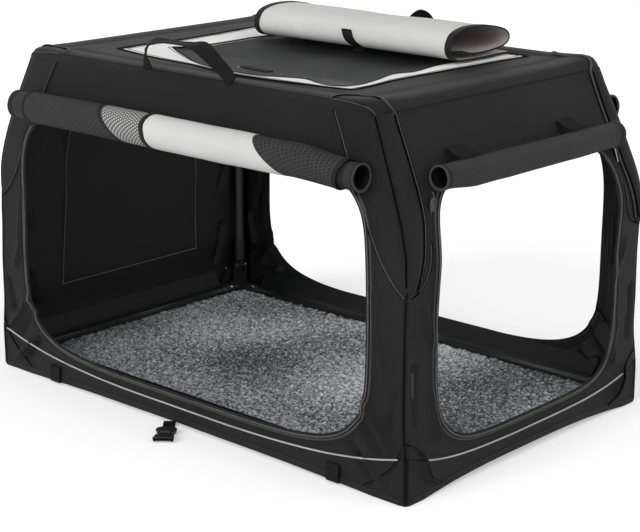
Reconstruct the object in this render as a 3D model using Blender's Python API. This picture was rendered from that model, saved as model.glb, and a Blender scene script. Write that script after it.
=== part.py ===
# Soft folding dog crate: a fabric cover over a folding tube frame, with three rolled-up doors,
# a roof window with its cover rolled back, a fleece mat, carry handles and closing straps.
# Metres, +Z up. The origin is the middle of the base on the ground. +X runs along the length
# to the open end, and the long side with the wide doorway faces -Y.
import math

import bmesh
import bpy
from mathutils import Matrix, Vector

# Fabric body
BODY_LENGTH = 0.910
BODY_DEPTH = 0.585
ROOF_HEIGHT = 0.560
KNEE_HEIGHT = 0.350
ROOF_INSET_LENGTH = 0.084
ROOF_INSET_DEPTH = 0.020
CORNER_RADIUS = 0.022
FABRIC = 0.0016
EAVES_DROP = 0.015
EAVES_CURVE = 0.008
GAP = 0.0003
OVERRUN = 0.006

# How far the walls stand in from the skirt: (share of the height, share of the roof's inset)
LOWER_PROFILE_SHARES = ((0.0, 0.0), (0.21, 0.0), (0.34, 0.07), (0.74, 0.07))
UPPER_PROFILE_SHARES = ((0.0, 0.012), (0.17, 0.11), (0.39, 0.32), (1.0, 1.0))

# Skirt and hem
SKIRT_AT_CORNER = 0.0735
SKIRT_AT_LONG_SIDE = 0.034
SKIRT_AT_END = 0.046
SKIRT_CURVE_POWER = 2.5
HEM_LIFT_LONG_SIDE = 0.006
HEM_LIFT_END = 0.0125
HEM_LIFTED_SHARE = 0.9
PIPING = 0.0034
FLOOR_LEDGE = 0.022
FLOOR_STEP = 0.034

# Doorways
DOOR_BORDER = 0.078
DOOR_SILL = 0.056
DOOR_TOP = 0.474
END_DOOR_BORDER = 0.072
END_DOOR_SILL = 0.066
END_DOOR_TOP = 0.452
DOOR_SQUARENESS = 5.0
CLOSED_PATCH_SHARE = 0.1

# Tube frame
TUBE = 0.016
TUBE_WALL = 0.0012
FRAME_INSET_LENGTH = 0.020
FRAME_INSET_DEPTH = 0.0255
BASE_TUBE_HEIGHT = 0.0235
PIVOT_HEIGHT_LEFT = 0.065
PIVOT_HEIGHT_RIGHT = 0.140
ELBOW_BELOW_ROOF_TUBES = 0.0705
ROOF_TUBE_BELOW_ROOF = 0.0135
ROOF_FRAME_INSET_LENGTH = 0.099
ROOF_FRAME_INSET_DEPTH = 0.0385
BEND_LENGTH = 0.055

# Moulded connectors
SLEEVE = 0.021
SLEEVE_REACH = 0.042
TUBE_START = 0.016
BALL = 0.029
COLUMN_LENGTH = 0.018
COLUMN_WIDTH = 0.019
BLOCK = 0.025
BLOCK_BOTTOM = 0.0035
TONGUE = 0.008
EAR_ROOM = 0.0125
EYE = 0.018
SHANK_START = 0.014
SHANK_REACH = 0.052
POST_START = 0.024
PIN = 0.005
PIN_HEAD = 0.009
PIN_HEAD_THICKNESS = 0.0015
SEAT_ABOVE_ELBOW = 0.0115
SEAT_SLOPE_DEG = 36.0
LEG = 0.0165

# Roof window
WINDOW_LENGTH = 0.575
WINDOW_DEPTH = 0.410
WINDOW_SHIFT_LENGTH = -0.0125
WINDOW_SHIFT_DEPTH = 0.005
WINDOW_BORDER = 0.032
WINDOW_CORNER = 0.012
BORDER_FABRIC = 0.0016
MESH = 0.0010

# Rolled cloth
ROOF_ROLL_LENGTH = 0.410
ROOF_ROLL_SHIFT = 0.035
ROOF_ROLL_FRONT = 0.060
ROOF_ROLL_REACH = 0.150
ROOF_ROLL_RISE = 0.0545
ROLL_CLOTH = 0.0022
DOOR_ROLL_HEIGHT = 0.472
DOOR_ROLL_LEFT_INSET = 0.0945
DOOR_ROLL_RIGHT_INSET = 0.074
DOOR_ROLL_COVER = 0.054
COVER_LEFT_INSET = 0.130
COVER_RIGHT_INSET = 0.095
END_ROLL = 0.043
END_ROLL_HEIGHT = 0.454
END_ROLL_FRONT_INSET = 0.0805
END_ROLL_BACK_INSET = 0.0735
ROLL_STAND_OFF = 0.0017
ROLL_TURNS = 2.25
ROLL_LAYER_GAP = 0.0020
COVER_TURNS = 0.94

# Fleece mat
MAT_INSET = 0.037
MAT_THICKNESS = 0.0265
MAT_CORNER = 0.030
MAT_ROUND = 0.006
MAT_CROWN = 0.0012
MAT_LIFT = 0.0005

# Webbing and buckles
WEBBING = 0.025
WEBBING_THICKNESS = 0.0016
HANDLE_WEBBING = 0.024
HANDLE_THICKNESS = 0.0022
HANDLE_LEFT = -0.082
HANDLE_RIGHT = 0.100
HANDLE_RISE = 0.048
HANDLE_STAND_OFF = 0.0003
HANDLE_LIFT = 0.0007
LEFT_LOOP_FROM_END = 0.145
RIGHT_LOOP_FROM_END = 0.135
LOOP_HEIGHT = 0.030
LOOP_STAND_OFF = 0.0052
ROLL_STRAP_AT = 0.036
STRAP_AT = -0.030
STRAP_WEBBING = 0.020
STRAP_LENGTH = 0.034
STRAP_TURN_DEG = 40.0
STRAP_STAND_OFF = 0.0012
STRAP_RISE = 0.0045
BUCKLE_LENGTH = 0.044
BUCKLE_ROOM = 0.0264
BUCKLE_WIDTH = 0.032
BUCKLE_THICKNESS = 0.0095
BUCKLE_WALL = 0.0022
BUCKLE_BEVEL = 0.0015
PRONG_LENGTH = 0.024
PRONG_WIDTH = 0.005

# Zip sliders
SLIDER_LENGTH = 0.010
SLIDER_WIDTH = 0.007
SLIDER_THICKNESS = 0.003
SLIDER_AT = 0.030
PULL_LENGTH = 0.030
PULL_WIDTH = 0.011
PULL_THICKNESS = 0.0025
PULL_FROM_FRONT = 0.0785
PULL_TOP = 0.4275

# Facets
SIDES_ROUND = 12
SIDE_STEPS = 12
WALL_STEPS_UP = 10
ROLL_STEPS = 16
STRAP_FIRST = 4
STRAP_LAST = 6

ALONG_X = Vector((1, 0, 0))
ALONG_Y = Vector((0, 1, 0))
UP = Vector((0, 0, 1))
SIDES = {
    "front": (ALONG_X, -ALONG_Y),
    "right": (ALONG_Y, ALONG_X),
    "back": (-ALONG_X, ALONG_Y),
    "left": (-ALONG_Y, -ALONG_X),
}
FRAME_X = BODY_LENGTH / 2 - FRAME_INSET_LENGTH
FRAME_Y = BODY_DEPTH / 2 - FRAME_INSET_DEPTH
ROOF_FRAME_X = BODY_LENGTH / 2 - ROOF_FRAME_INSET_LENGTH
ROOF_FRAME_Y = BODY_DEPTH / 2 - ROOF_FRAME_INSET_DEPTH
ROOF_TUBE_HEIGHT = ROOF_HEIGHT - ROOF_TUBE_BELOW_ROOF
ELBOW_HEIGHT = ROOF_TUBE_HEIGHT - ELBOW_BELOW_ROOF_TUBES
EAVES_HEIGHT = ROOF_HEIGHT - EAVES_DROP
ENDS = {"left": (-1, PIVOT_HEIGHT_LEFT), "right": (1, PIVOT_HEIGHT_RIGHT)}
LONG_SIDES = {"front": -1, "back": 1}


# Scene, materials and objects


def clear_scene():
    for obj in list(bpy.data.objects):
        bpy.data.objects.remove(obj, do_unlink=True)


def finish(name, colour, roughness, metallic=0.0):
    made = bpy.data.materials.new(name)
    made.use_nodes = True
    shader = made.node_tree.nodes["Principled BSDF"]
    shader.inputs["Base Color"].default_value = (*colour, 1.0)
    shader.inputs["Roughness"].default_value = roughness
    shader.inputs["Metallic"].default_value = metallic
    return made


def place(name, shape, look, pivot=None, smooth_deg=40.0):
    # Turns a bmesh into an object; a moving piece gets its origin on its joint's axis.
    mesh = bpy.data.meshes.new(name)
    shape.to_mesh(mesh)
    shape.free()
    mesh.materials.append(look)
    mesh.shade_smooth()
    mesh.set_sharp_from_angle(angle=math.radians(smooth_deg))
    made = bpy.data.objects.new(name, mesh)
    bpy.context.scene.collection.objects.link(made)
    if pivot is not None:
        mesh.transform(Matrix.Translation(-pivot))
        made.location = pivot
    return made


# Shapes


def facing_out(shape):
    bmesh.ops.recalc_face_normals(shape, faces=shape.faces)
    if shape.calc_volume(signed=True) < 0:
        bmesh.ops.reverse_faces(shape, faces=shape.faces)
    return shape


def loft(rings, wrap=False):
    # A skin over rings with equally many points, with end faces or wrapped on itself.
    shape = bmesh.new()
    rows = [[shape.verts.new(point) for point in ring] for ring in rings]
    pairs = list(zip(rows, rows[1:]))
    if wrap:
        pairs.append((rows[-1], rows[0]))
    for low, high in pairs:
        for i, corner in enumerate(low):
            j = (i + 1) % len(low)
            shape.faces.new((corner, low[j], high[j], high[i]))
    if not wrap:
        shape.faces.new(rows[0])
        shape.faces.new(rows[-1])
    return facing_out(shape)


def directions(path):
    steps = [(b - a).normalized() for a, b in zip(path, path[1:])]
    inner = [(a + b).normalized() for a, b in zip(steps, steps[1:])]
    return [steps[0], *inner, steps[-1]]


def circle(centre, direction, radius, guide, sides=SIDES_ROUND):
    across = (guide - direction * guide.dot(direction)).normalized()
    other = direction.cross(across)
    turn = 2 * math.pi / sides
    return [
        centre + (across * math.cos(turn * (i + 0.5)) + other * math.sin(turn * (i + 0.5))) * radius
        for i in range(sides)
    ]


def rod(start, end, radius, guide, sides=SIDES_ROUND):
    direction = (end - start).normalized()
    return loft([circle(point, direction, radius, guide, sides) for point in (start, end)])


def hollow_tube(path, guide):
    ways = directions(path)
    outer = [circle(p, d, TUBE / 2, guide) for p, d in zip(path, ways)]
    inner = [circle(p, d, TUBE / 2 - TUBE_WALL, guide) for p, d in zip(path, ways)]
    return loft(outer + inner[::-1], wrap=True)


def box(centre, size, turn=None):
    shape = bmesh.new()
    bmesh.ops.create_cube(shape, size=1.0)
    bmesh.ops.scale(shape, vec=size, verts=shape.verts)
    if turn is not None:
        bmesh.ops.transform(shape, matrix=turn, verts=shape.verts)
    bmesh.ops.translate(shape, vec=centre, verts=shape.verts)
    return shape


def bevelled_box(centre, size, width, turn=None):
    shape = box(Vector((0, 0, 0)), size)
    bmesh.ops.bevel(
        shape, geom=shape.edges[:], offset=width, segments=1, profile=0.5, affect="EDGES", material=-1
    )
    if turn is not None:
        bmesh.ops.transform(shape, matrix=turn, verts=shape.verts)
    bmesh.ops.translate(shape, vec=centre, verts=shape.verts)
    return shape


def ball(centre, radius):
    shape = bmesh.new()
    bmesh.ops.create_uvsphere(shape, u_segments=SIDES_ROUND, v_segments=SIDES_ROUND // 2, radius=radius)
    bmesh.ops.translate(shape, vec=centre, verts=shape.verts)
    return shape


def ribbon(path, widths, thickness, faces):
    # A strip: each station has its place, its full width as a vector and its face's direction.
    rings = []
    for point, width, face in zip(path, widths, faces):
        half, lift = width / 2, face * (thickness / 2)
        rings.append([point - half - lift, point + half - lift, point + half + lift, point - half + lift])
    return loft(rings)


def joined(name, base, added, cuts, look, pivot=None, smooth_deg=40.0):
    # One body: the added shapes are united with the base, then the cuts are taken out.
    made = place(name, base, look, smooth_deg=smooth_deg)
    helpers = []
    for operation, shapes in (("UNION", added), ("DIFFERENCE", cuts)):
        for shape in shapes:
            helper = place(f"{name}_helper", shape, look)
            step = made.modifiers.new(operation.lower(), "BOOLEAN")
            step.operation = operation
            step.solver = "EXACT"
            step.object = helper
            helpers.append(helper)
    evaluated = made.evaluated_get(bpy.context.evaluated_depsgraph_get())
    mesh = bpy.data.meshes.new_from_object(evaluated)
    made.modifiers.clear()
    made.data = mesh
    for helper in helpers:
        bpy.data.objects.remove(helper, do_unlink=True)
    mesh.shade_smooth()
    mesh.set_sharp_from_angle(angle=math.radians(smooth_deg))
    if pivot is not None:
        mesh.transform(Matrix.Translation(-pivot))
        made.location = pivot
    return made


# The fabric body's outline


def profile_share(height):
    knots = [(KNEE_HEIGHT * part, inset) for part, inset in LOWER_PROFILE_SHARES]
    rise = ROOF_HEIGHT - KNEE_HEIGHT
    knots += [(KNEE_HEIGHT + rise * part, inset) for part, inset in UPPER_PROFILE_SHARES]
    for (low, first), (high, second) in zip(knots, knots[1:]):
        if height <= high:
            return first + (second - first) * (height - low) / (high - low)
    return 1.0


def half_sizes(height):
    part = profile_share(height)
    return (
        BODY_LENGTH / 2 - ROOF_INSET_LENGTH * part,
        BODY_DEPTH / 2 - ROOF_INSET_DEPTH * part,
    )


def half_girth(half, radius):
    # Half of one side of a rounded rectangle, from its middle to the middle of a corner.
    return half - radius + radius * math.pi / 4


def outline_point(side, part, half_x, half_y, radius, height):
    # A point of a rounded rectangle; part runs from -1 to 1 between the side's corner ridges.
    along, out = SIDES[side]
    half, depth = (half_x, half_y) if abs(along.x) > abs(along.y) else (half_y, half_x)
    reach = part * half_girth(half, radius)
    straight = half - radius
    if abs(reach) <= straight:
        return along * reach + out * depth + UP * height
    turn = (abs(reach) - straight) / radius
    way = math.copysign(1.0, reach)
    return (
        along * way * (straight + radius * math.sin(turn))
        + out * (depth - radius + radius * math.cos(turn))
        + UP * height
    )


def cover_point(side, part, height, depth=0.0):
    half_x, half_y = half_sizes(height)
    return outline_point(side, part, half_x - depth, half_y - depth, CORNER_RADIUS - depth, height)


def edge_part(side):
    # Where a side panel stops short of its corner ridge, to leave a gap to the next panel.
    half = BODY_LENGTH / 2 if side in LONG_SIDES else BODY_DEPTH / 2
    return 1 - GAP / half_girth(half, CORNER_RADIUS)


def seam_height(side, part):
    middle = SKIRT_AT_LONG_SIDE if side in LONG_SIDES else SKIRT_AT_END
    return middle + (SKIRT_AT_CORNER - middle) * abs(part) ** SKIRT_CURVE_POWER


def hem_height(side, part):
    lift = HEM_LIFT_LONG_SIDE if side in LONG_SIDES else HEM_LIFT_END
    return lift * (1 - min(1.0, abs(part) / HEM_LIFTED_SHARE) ** SKIRT_CURVE_POWER)


def plan_parts():
    return [-1 + 2 * i / SIDE_STEPS for i in range(SIDE_STEPS)]


def plan_ring(half_x, half_y, radius, height, shift=Vector((0, 0, 0))):
    return [
        outline_point(side, part, half_x, half_y, radius, height(side, part)) + shift
        for side in SIDES
        for part in plan_parts()
    ]


def level(height):
    return lambda side, part: height


# Tray, walls, piping and mat


def floor_tray(look):
    # Skirt and floor in one: from the middle of the underside, out and up, and back inside.
    half_x, half_y = BODY_LENGTH / 2, BODY_DEPTH / 2
    seam = PIPING / 2 + GAP

    def underside(inset, height):
        radius = max(CORNER_RADIUS - inset, FABRIC)
        return plan_ring(half_x - inset, half_y - inset, radius, height)

    def lifted(height):
        return lambda side, part: height(side, part) + FABRIC

    top = lambda side, part: seam_height(side, part) - seam
    middle = lambda side, part: (seam_height(side, part) + hem_height(side, part)) / 2
    flat = level(0.0)
    below = [
        underside(half_y / 2, flat),
        underside(FLOOR_STEP, flat),
        underside(FLOOR_LEDGE, hem_height),
        underside(0.0, hem_height),
        underside(0.0, middle),
        underside(0.0, top),
    ]
    above = [
        underside(FABRIC, top),
        underside(FABRIC, middle),
        underside(FABRIC, lifted(hem_height)),
        underside(FLOOR_LEDGE + FABRIC, lifted(hem_height)),
        underside(FLOOR_STEP + FABRIC, lifted(flat)),
        underside(half_y / 2, lifted(flat)),
    ]
    return place("floor_tray", loft(below + above), look)


def square_loop(across, up):
    # The edge of a square from -1 to 1, walked once round from its lower left corner.
    bottom = [(-1 + 2 * i / across, -1.0) for i in range(across)]
    right = [(1.0, -1 + 2 * i / up) for i in range(up)]
    return bottom + right + [(-a, -b) for a, b in bottom + right]


def wall_point(side, reach, height, depth):
    half_x, half_y = half_sizes(height)
    half = half_x if side in LONG_SIDES else half_y
    return cover_point(side, reach / half_girth(half, CORNER_RADIUS), height, depth)


def wall_rings(side, door, blends, depth):
    rings = []
    for blend in blends:
        ring = []
        for a, b in square_loop(SIDE_STEPS, WALL_STEPS_UP):
            low = seam_height(side, a) + PIPING / 2 + GAP
            height = low + (EAVES_HEIGHT - low) * (b + 1) / 2
            half_x, half_y = half_sizes(height)
            half = half_x if side in LONG_SIDES else half_y
            reach = a * half_girth(half, CORNER_RADIUS) * edge_part(side)
            half_width, sill, head = door
            pull = (abs(a) ** DOOR_SQUARENESS + abs(b) ** DOOR_SQUARENESS) ** (-1 / DOOR_SQUARENESS)
            door_reach = a * pull * half_width
            door_height = (sill + head) / 2 + b * pull * (head - sill) / 2
            reach += (door_reach - reach) * blend
            height += (door_height - height) * blend
            ring.append(wall_point(side, reach, height, depth))
        rings.append(ring)
    return rings


def wall(side, look):
    long_side = side in LONG_SIDES
    half = BODY_LENGTH / 2 - DOOR_BORDER if long_side else BODY_DEPTH / 2 - END_DOOR_BORDER
    sill, head = (DOOR_SILL, DOOR_TOP) if long_side else (END_DOOR_SILL, END_DOOR_TOP)
    door = (half, sill, head)
    blends = (1.0, 0.3, 0.12, 0.0)
    if side == "left":
        # No doorway here: the rings close in on a small patch in the middle of the wall.
        middle = (sill + head) / 2
        reach = (head - sill) / 2 * CLOSED_PATCH_SHARE
        door = (half * CLOSED_PATCH_SHARE, middle - reach, middle + reach)
        blends = (1.0, 0.8, 0.6, 0.4, 0.2, 0.08, 0.0)
    outside = wall_rings(side, door, blends, 0.0)
    inside = wall_rings(side, door, blends, FABRIC)
    shape = loft(outside + inside[::-1], wrap=side != "left")
    return place(f"{side}_wall", shape, look)


def seam_piping(look):
    # One cord sewn into the seam all round, between the skirt and the walls.
    path = [
        cover_point(side, part, seam_height(side, part), FABRIC / 2)
        for side in SIDES
        for part in plan_parts()
    ]
    ways = directions([path[-1], *path, path[0]])[1:-1]
    rings = [circle(p, d, PIPING / 2 - GAP, UP, sides=6) for p, d in zip(path, ways)]
    return place("seam_piping", loft(rings, wrap=True), look)


def hem_loop(name, at, look):
    # A webbing loop that hangs on the skirt: (share of its stand-off, share of its height)
    loop_shares = (
        (0.0, 1.0),
        (0.0, 0.3),
        (0.12, 0.07),
        (0.5, 0.0),
        (0.88, 0.07),
        (1.0, 0.3),
        (0.8, 0.9),
    )
    near = BODY_DEPTH / 2 + GAP + WEBBING_THICKNESS / 2
    low = WEBBING_THICKNESS
    path = [
        Vector((at, -near - LOOP_STAND_OFF * out, low + LOOP_HEIGHT * up)) for out, up in loop_shares
    ]
    widths = [ALONG_X * WEBBING] * len(path)
    shape = ribbon(path, widths, WEBBING_THICKNESS, across_faces(path, ALONG_X))
    return place(name, shape, look)


def floor_mat(look):
    half_x = BODY_LENGTH / 2 - MAT_INSET
    half_y = BODY_DEPTH / 2 - MAT_INSET
    bottom = FABRIC + MAT_LIFT
    top = bottom + MAT_THICKNESS

    def ring(inset, height):
        radius = max(MAT_CORNER - inset, MAT_ROUND)
        return plan_ring(half_x - inset, half_y - inset, radius, level(height))

    rings = [
        ring(half_y / 2, bottom),
        ring(MAT_ROUND / 2, bottom),
        ring(0.0, bottom + MAT_ROUND),
        ring(0.0, top - MAT_ROUND),
        ring(MAT_ROUND / 2, top - MAT_ROUND / 4),
        ring(MAT_ROUND * 2, top),
        ring(half_y / 2, top + MAT_CROWN),
    ]
    return place("floor_mat", loft(rings), look)


# Tube frame


def post_line(height):
    # The place of a corner's tube centre line, in the first quarter, at a height above the knee.
    part = (height - KNEE_HEIGHT) / (ROOF_TUBE_HEIGHT - KNEE_HEIGHT)
    return Vector(
        (
            FRAME_X + (ROOF_FRAME_X - FRAME_X) * part,
            FRAME_Y + (ROOF_FRAME_Y - FRAME_Y) * part,
            height,
        )
    )


def post_slant():
    return (post_line(ROOF_TUBE_HEIGHT) - post_line(KNEE_HEIGHT)).normalized()


def corner_turn(end_way, side_way):
    return Matrix.Diagonal((end_way, side_way, 1, 1))


def mirrored(shape, end_way, side_way):
    bmesh.ops.transform(shape, matrix=corner_turn(end_way, side_way), verts=shape.verts)
    return facing_out(shape)


def straight_tube(name, start, end, guide, look, pivot=None):
    way = (end - start).normalized()
    return place(name, hollow_tube([start + way * TUBE_START, end - way * TUBE_START], guide), look, pivot)


def rectangle_tubes(prefix, half_x, half_y, height, look):
    for name, way in LONG_SIDES.items():
        start, end = Vector((-half_x, way * half_y, height)), Vector((half_x, way * half_y, height))
        straight_tube(f"{prefix}_{name}_tube", start, end, UP, look)
    for name, (way, _) in ENDS.items():
        start, end = Vector((way * half_x, -half_y, height)), Vector((way * half_x, half_y, height))
        straight_tube(f"{prefix}_{name}_tube", start, end, UP, look)


def sleeve(corner, way, guide, reach=SLEEVE_REACH):
    return rod(corner - way * TUBE / 8, corner + way * reach, SLEEVE / 2, guide)


def bore(corner, way, guide, start=TUBE_START, reach=SLEEVE_REACH):
    return rod(corner + way * (start - GAP), corner + way * (reach + OVERRUN), TUBE / 2 + GAP, guide)


def base_corner(name, end_way, side_way, pivot_height, look):
    corner = Vector((FRAME_X, FRAME_Y, BASE_TUBE_HEIGHT))
    pivot = Vector((FRAME_X, FRAME_Y, pivot_height))
    block_top = BASE_TUBE_HEIGHT + BLOCK / 2
    block = box(
        Vector((FRAME_X, FRAME_Y, (BLOCK_BOTTOM + block_top) / 2)),
        Vector((BLOCK, BLOCK, block_top - BLOCK_BOTTOM)),
    )
    column_base = BASE_TUBE_HEIGHT
    column = box(
        Vector((FRAME_X, FRAME_Y, (column_base + pivot_height) / 2)),
        Vector((COLUMN_LENGTH, COLUMN_WIDTH, pivot_height - column_base)),
    )
    half_width = ALONG_Y * COLUMN_WIDTH / 2
    crown = rod(pivot - half_width, pivot + half_width, COLUMN_LENGTH / 2, UP)
    added = [
        column,
        crown,
        sleeve(corner, -ALONG_X, UP),
        sleeve(corner, -ALONG_Y, UP),
    ]
    slot_low = pivot_height - EAR_ROOM
    slot_high = pivot_height + COLUMN_LENGTH
    slot = box(
        Vector((FRAME_X, FRAME_Y, (slot_low + slot_high) / 2)),
        Vector((COLUMN_LENGTH + 2 * OVERRUN, TONGUE + 2 * GAP, slot_high - slot_low)),
    )
    past = half_width + ALONG_Y * OVERRUN
    hole = rod(pivot - past, pivot + past, PIN / 2 + GAP, UP)
    cuts = [slot, hole, bore(corner, -ALONG_X, UP), bore(corner, -ALONG_Y, UP)]
    shapes = [mirrored(shape, end_way, side_way) for shape in [block, *added, *cuts]]
    return joined(name, shapes[0], shapes[1 : len(added) + 1], shapes[len(added) + 1 :], look)


def pivot_pin(name, end_way, side_way, pivot_height, look):
    pivot = Vector((end_way * FRAME_X, side_way * FRAME_Y, pivot_height))
    inner = COLUMN_WIDTH / 2 + GAP
    outer = inner + PIN_HEAD_THICKNESS
    stations = [
        (-outer, PIN_HEAD / 2),
        (-inner, PIN_HEAD / 2),
        (-inner, PIN / 2),
        (inner, PIN / 2),
        (inner, PIN_HEAD / 2),
        (outer, PIN_HEAD / 2),
    ]
    rings = [circle(pivot + ALONG_Y * place_y, ALONG_Y, radius, UP) for place_y, radius in stations]
    return place(name, loft(rings), look)


def post_path(pivot_height):
    start = pivot_height + POST_START
    slant = post_slant()
    knee = post_line(KNEE_HEIGHT)
    below = knee - UP * BEND_LENGTH
    above = knee + slant * BEND_LENGTH
    bend_shares = (0.0, 0.25, 0.5, 0.75, 1.0)
    bend = [
        below * (1 - part) ** 2 + knee * 2 * part * (1 - part) + above * part**2 for part in bend_shares
    ]
    end = post_line(ELBOW_HEIGHT) - slant * TUBE_START
    return [Vector((FRAME_X, FRAME_Y, start)), *bend, end]


def end_post(name, end_way, side_way, pivot_height, look, pivot):
    return place(
        name, mirrored(hollow_tube(post_path(pivot_height), ALONG_Y), end_way, side_way), look, pivot
    )


def post_foot(name, end_way, side_way, pivot_height, look, pivot):
    # The moulded foot of a post: a tongue that turns on the pivot pin, and a shank round the tube.
    centre = Vector((FRAME_X, FRAME_Y, pivot_height))
    half = ALONG_Y * TONGUE / 2
    eye = rod(centre - half, centre + half, EYE / 2, UP)
    neck_top = pivot_height + SHANK_START + TUBE / 4
    neck = box(
        Vector((FRAME_X, FRAME_Y, (pivot_height + neck_top) / 2)),
        Vector((EYE - 2 * TUBE_WALL, TONGUE, neck_top - pivot_height)),
    )
    shank = rod(centre + UP * SHANK_START, centre + UP * SHANK_REACH, SLEEVE / 2, ALONG_Y)
    hole = rod(centre - half - ALONG_Y * OVERRUN, centre + half + ALONG_Y * OVERRUN, PIN / 2 + GAP, UP)
    socket = bore(centre, UP, ALONG_Y, POST_START, SHANK_REACH)
    shapes = [mirrored(shape, end_way, side_way) for shape in (eye, neck, shank, hole, socket)]
    return joined(name, shapes[0], shapes[1:3], shapes[3:], look, pivot)


def seat_cutter(above):
    # A block with one face on the sloping seat between an elbow and the roof corner's leg.
    turn = Matrix.Rotation(math.radians(SEAT_SLOPE_DEG), 4, ALONG_Y)
    normal = turn @ UP
    seat = post_line(ELBOW_HEIGHT) + normal * SEAT_ABOVE_ELBOW
    size = 2 * SLEEVE_REACH
    way = 1 if above else -1
    centre = seat + normal * way * (size / 2 - GAP / 2)
    return box(centre, Vector((size, size, size)), turn)


def elbow(name, end_way, side_way, look, pivot):
    corner = post_line(ELBOW_HEIGHT)
    slant = post_slant()
    added = [sleeve(corner, -slant, ALONG_Y), sleeve(corner, -ALONG_Y, UP)]
    cuts = [bore(corner, -slant, ALONG_Y), bore(corner, -ALONG_Y, UP), seat_cutter(True)]
    shapes = [mirrored(shape, end_way, side_way) for shape in [ball(corner, BALL / 2), *added, *cuts]]
    return joined(name, shapes[0], shapes[1:3], shapes[3:], look, pivot)


def roof_corner(name, end_way, side_way, look):
    corner = post_line(ROOF_TUBE_HEIGHT)
    added = [
        sleeve(corner, -ALONG_X, UP),
        sleeve(corner, -ALONG_Y, UP),
        rod(corner, post_line(ELBOW_HEIGHT), LEG / 2, ALONG_Y),
    ]
    cuts = [bore(corner, -ALONG_X, UP), bore(corner, -ALONG_Y, UP), seat_cutter(False)]
    body = ball(corner, SLEEVE / 2)
    shapes = [mirrored(shape, end_way, side_way) for shape in [body, *added, *cuts]]
    return joined(name, shapes[0], shapes[1:4], shapes[4:], look)


def end_frames(tube_look, moulding_look, pin_look):
    for end, (end_way, pivot_height) in ENDS.items():
        pivot = Vector((end_way * FRAME_X, 0, pivot_height))
        for side, side_way in LONG_SIDES.items():
            corner = (end_way, side_way)
            end_post(f"{end}_{side}_post", *corner, pivot_height, tube_look, pivot)
            post_foot(f"{end}_{side}_post_foot", *corner, pivot_height, moulding_look, pivot)
            elbow(f"{end}_{side}_elbow", *corner, moulding_look, pivot)
            base_corner(f"base_corner_{side}_{end}", *corner, pivot_height, moulding_look)
            pivot_pin(f"pivot_pin_{side}_{end}", *corner, pivot_height, pin_look)
            roof_corner(f"roof_corner_{side}_{end}", *corner, moulding_look)
        reach = post_line(ELBOW_HEIGHT)
        bar_end = Vector((end_way * reach.x, reach.y, reach.z))
        bar_start = Vector((end_way * reach.x, -reach.y, reach.z))
        straight_tube(f"{end}_crossbar", bar_start, bar_end, UP, tube_look, pivot)


# Roof


def window_ring(inset, height):
    half_x = WINDOW_LENGTH / 2 - inset
    half_y = WINDOW_DEPTH / 2 - inset
    shift = Vector((WINDOW_SHIFT_LENGTH, WINDOW_SHIFT_DEPTH, 0))
    return plan_ring(half_x, half_y, WINDOW_CORNER, level(height), shift)


def roof_panel(look):
    eaves_x, eaves_y = half_sizes(EAVES_HEIGHT)
    top_x, top_y = half_sizes(ROOF_HEIGHT)
    seam = EAVES_HEIGHT + GAP
    curve = EAVES_CURVE / 4

    def surface(depth):
        radius = CORNER_RADIUS - depth
        top = ROOF_HEIGHT - depth
        return [
            window_ring(0.0, top),
            plan_ring(top_x - EAVES_CURVE, top_y - EAVES_CURVE, radius, level(top)),
            plan_ring(top_x - curve - depth, top_y - curve - depth, radius, level(top - curve)),
            plan_ring(eaves_x - depth, eaves_y - depth, radius, level(seam)),
        ]

    return place("roof_panel", loft(surface(0.0) + surface(FABRIC)[::-1], wrap=True), look)


def window_parts(border_look, mesh_look):
    edge = WINDOW_BORDER
    bottom = ROOF_HEIGHT - BORDER_FABRIC
    border = loft(
        [
            window_ring(edge, ROOF_HEIGHT),
            window_ring(GAP, ROOF_HEIGHT),
            window_ring(GAP, bottom),
            window_ring(edge, bottom),
        ],
        wrap=True,
    )
    place("roof_window_border", border, border_look)
    top = ROOF_HEIGHT - (BORDER_FABRIC - MESH) / 2
    net = loft([window_ring(edge + GAP, top - MESH), window_ring(edge + GAP, top)])
    place("roof_window_mesh", net, mesh_look)


def smooth_path(points, steps):
    # A smooth open curve through the points, by blending neighbouring parabolas.
    ends = [points[0] * 2 - points[1], *points, points[-1] * 2 - points[-2]]
    path = []
    for before, start, end, after in zip(ends, ends[1:], ends[2:], ends[3:]):
        for i in range(steps):
            t = i / steps
            path.append(
                (
                    start * 2
                    + (end - before) * t
                    + (before * 2 - start * 5 + end * 4 - after) * t**2
                    + (start * 3 - before - end * 3 + after) * t**3
                )
                / 2
            )
    return [*path, points[-1]]


def across_faces(path, axis):
    return [direction.cross(axis) for direction in directions(path)]


def least_layer_gap(path, thickness):
    # The least distance between layers of a rolled strip, between points over a quarter turn apart.
    skip = ROLL_STEPS // 4
    gaps = [
        (path[j] - path[i]).length - thickness for i in range(len(path)) for j in range(i + skip, len(path))
    ]
    return min(gaps)


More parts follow.
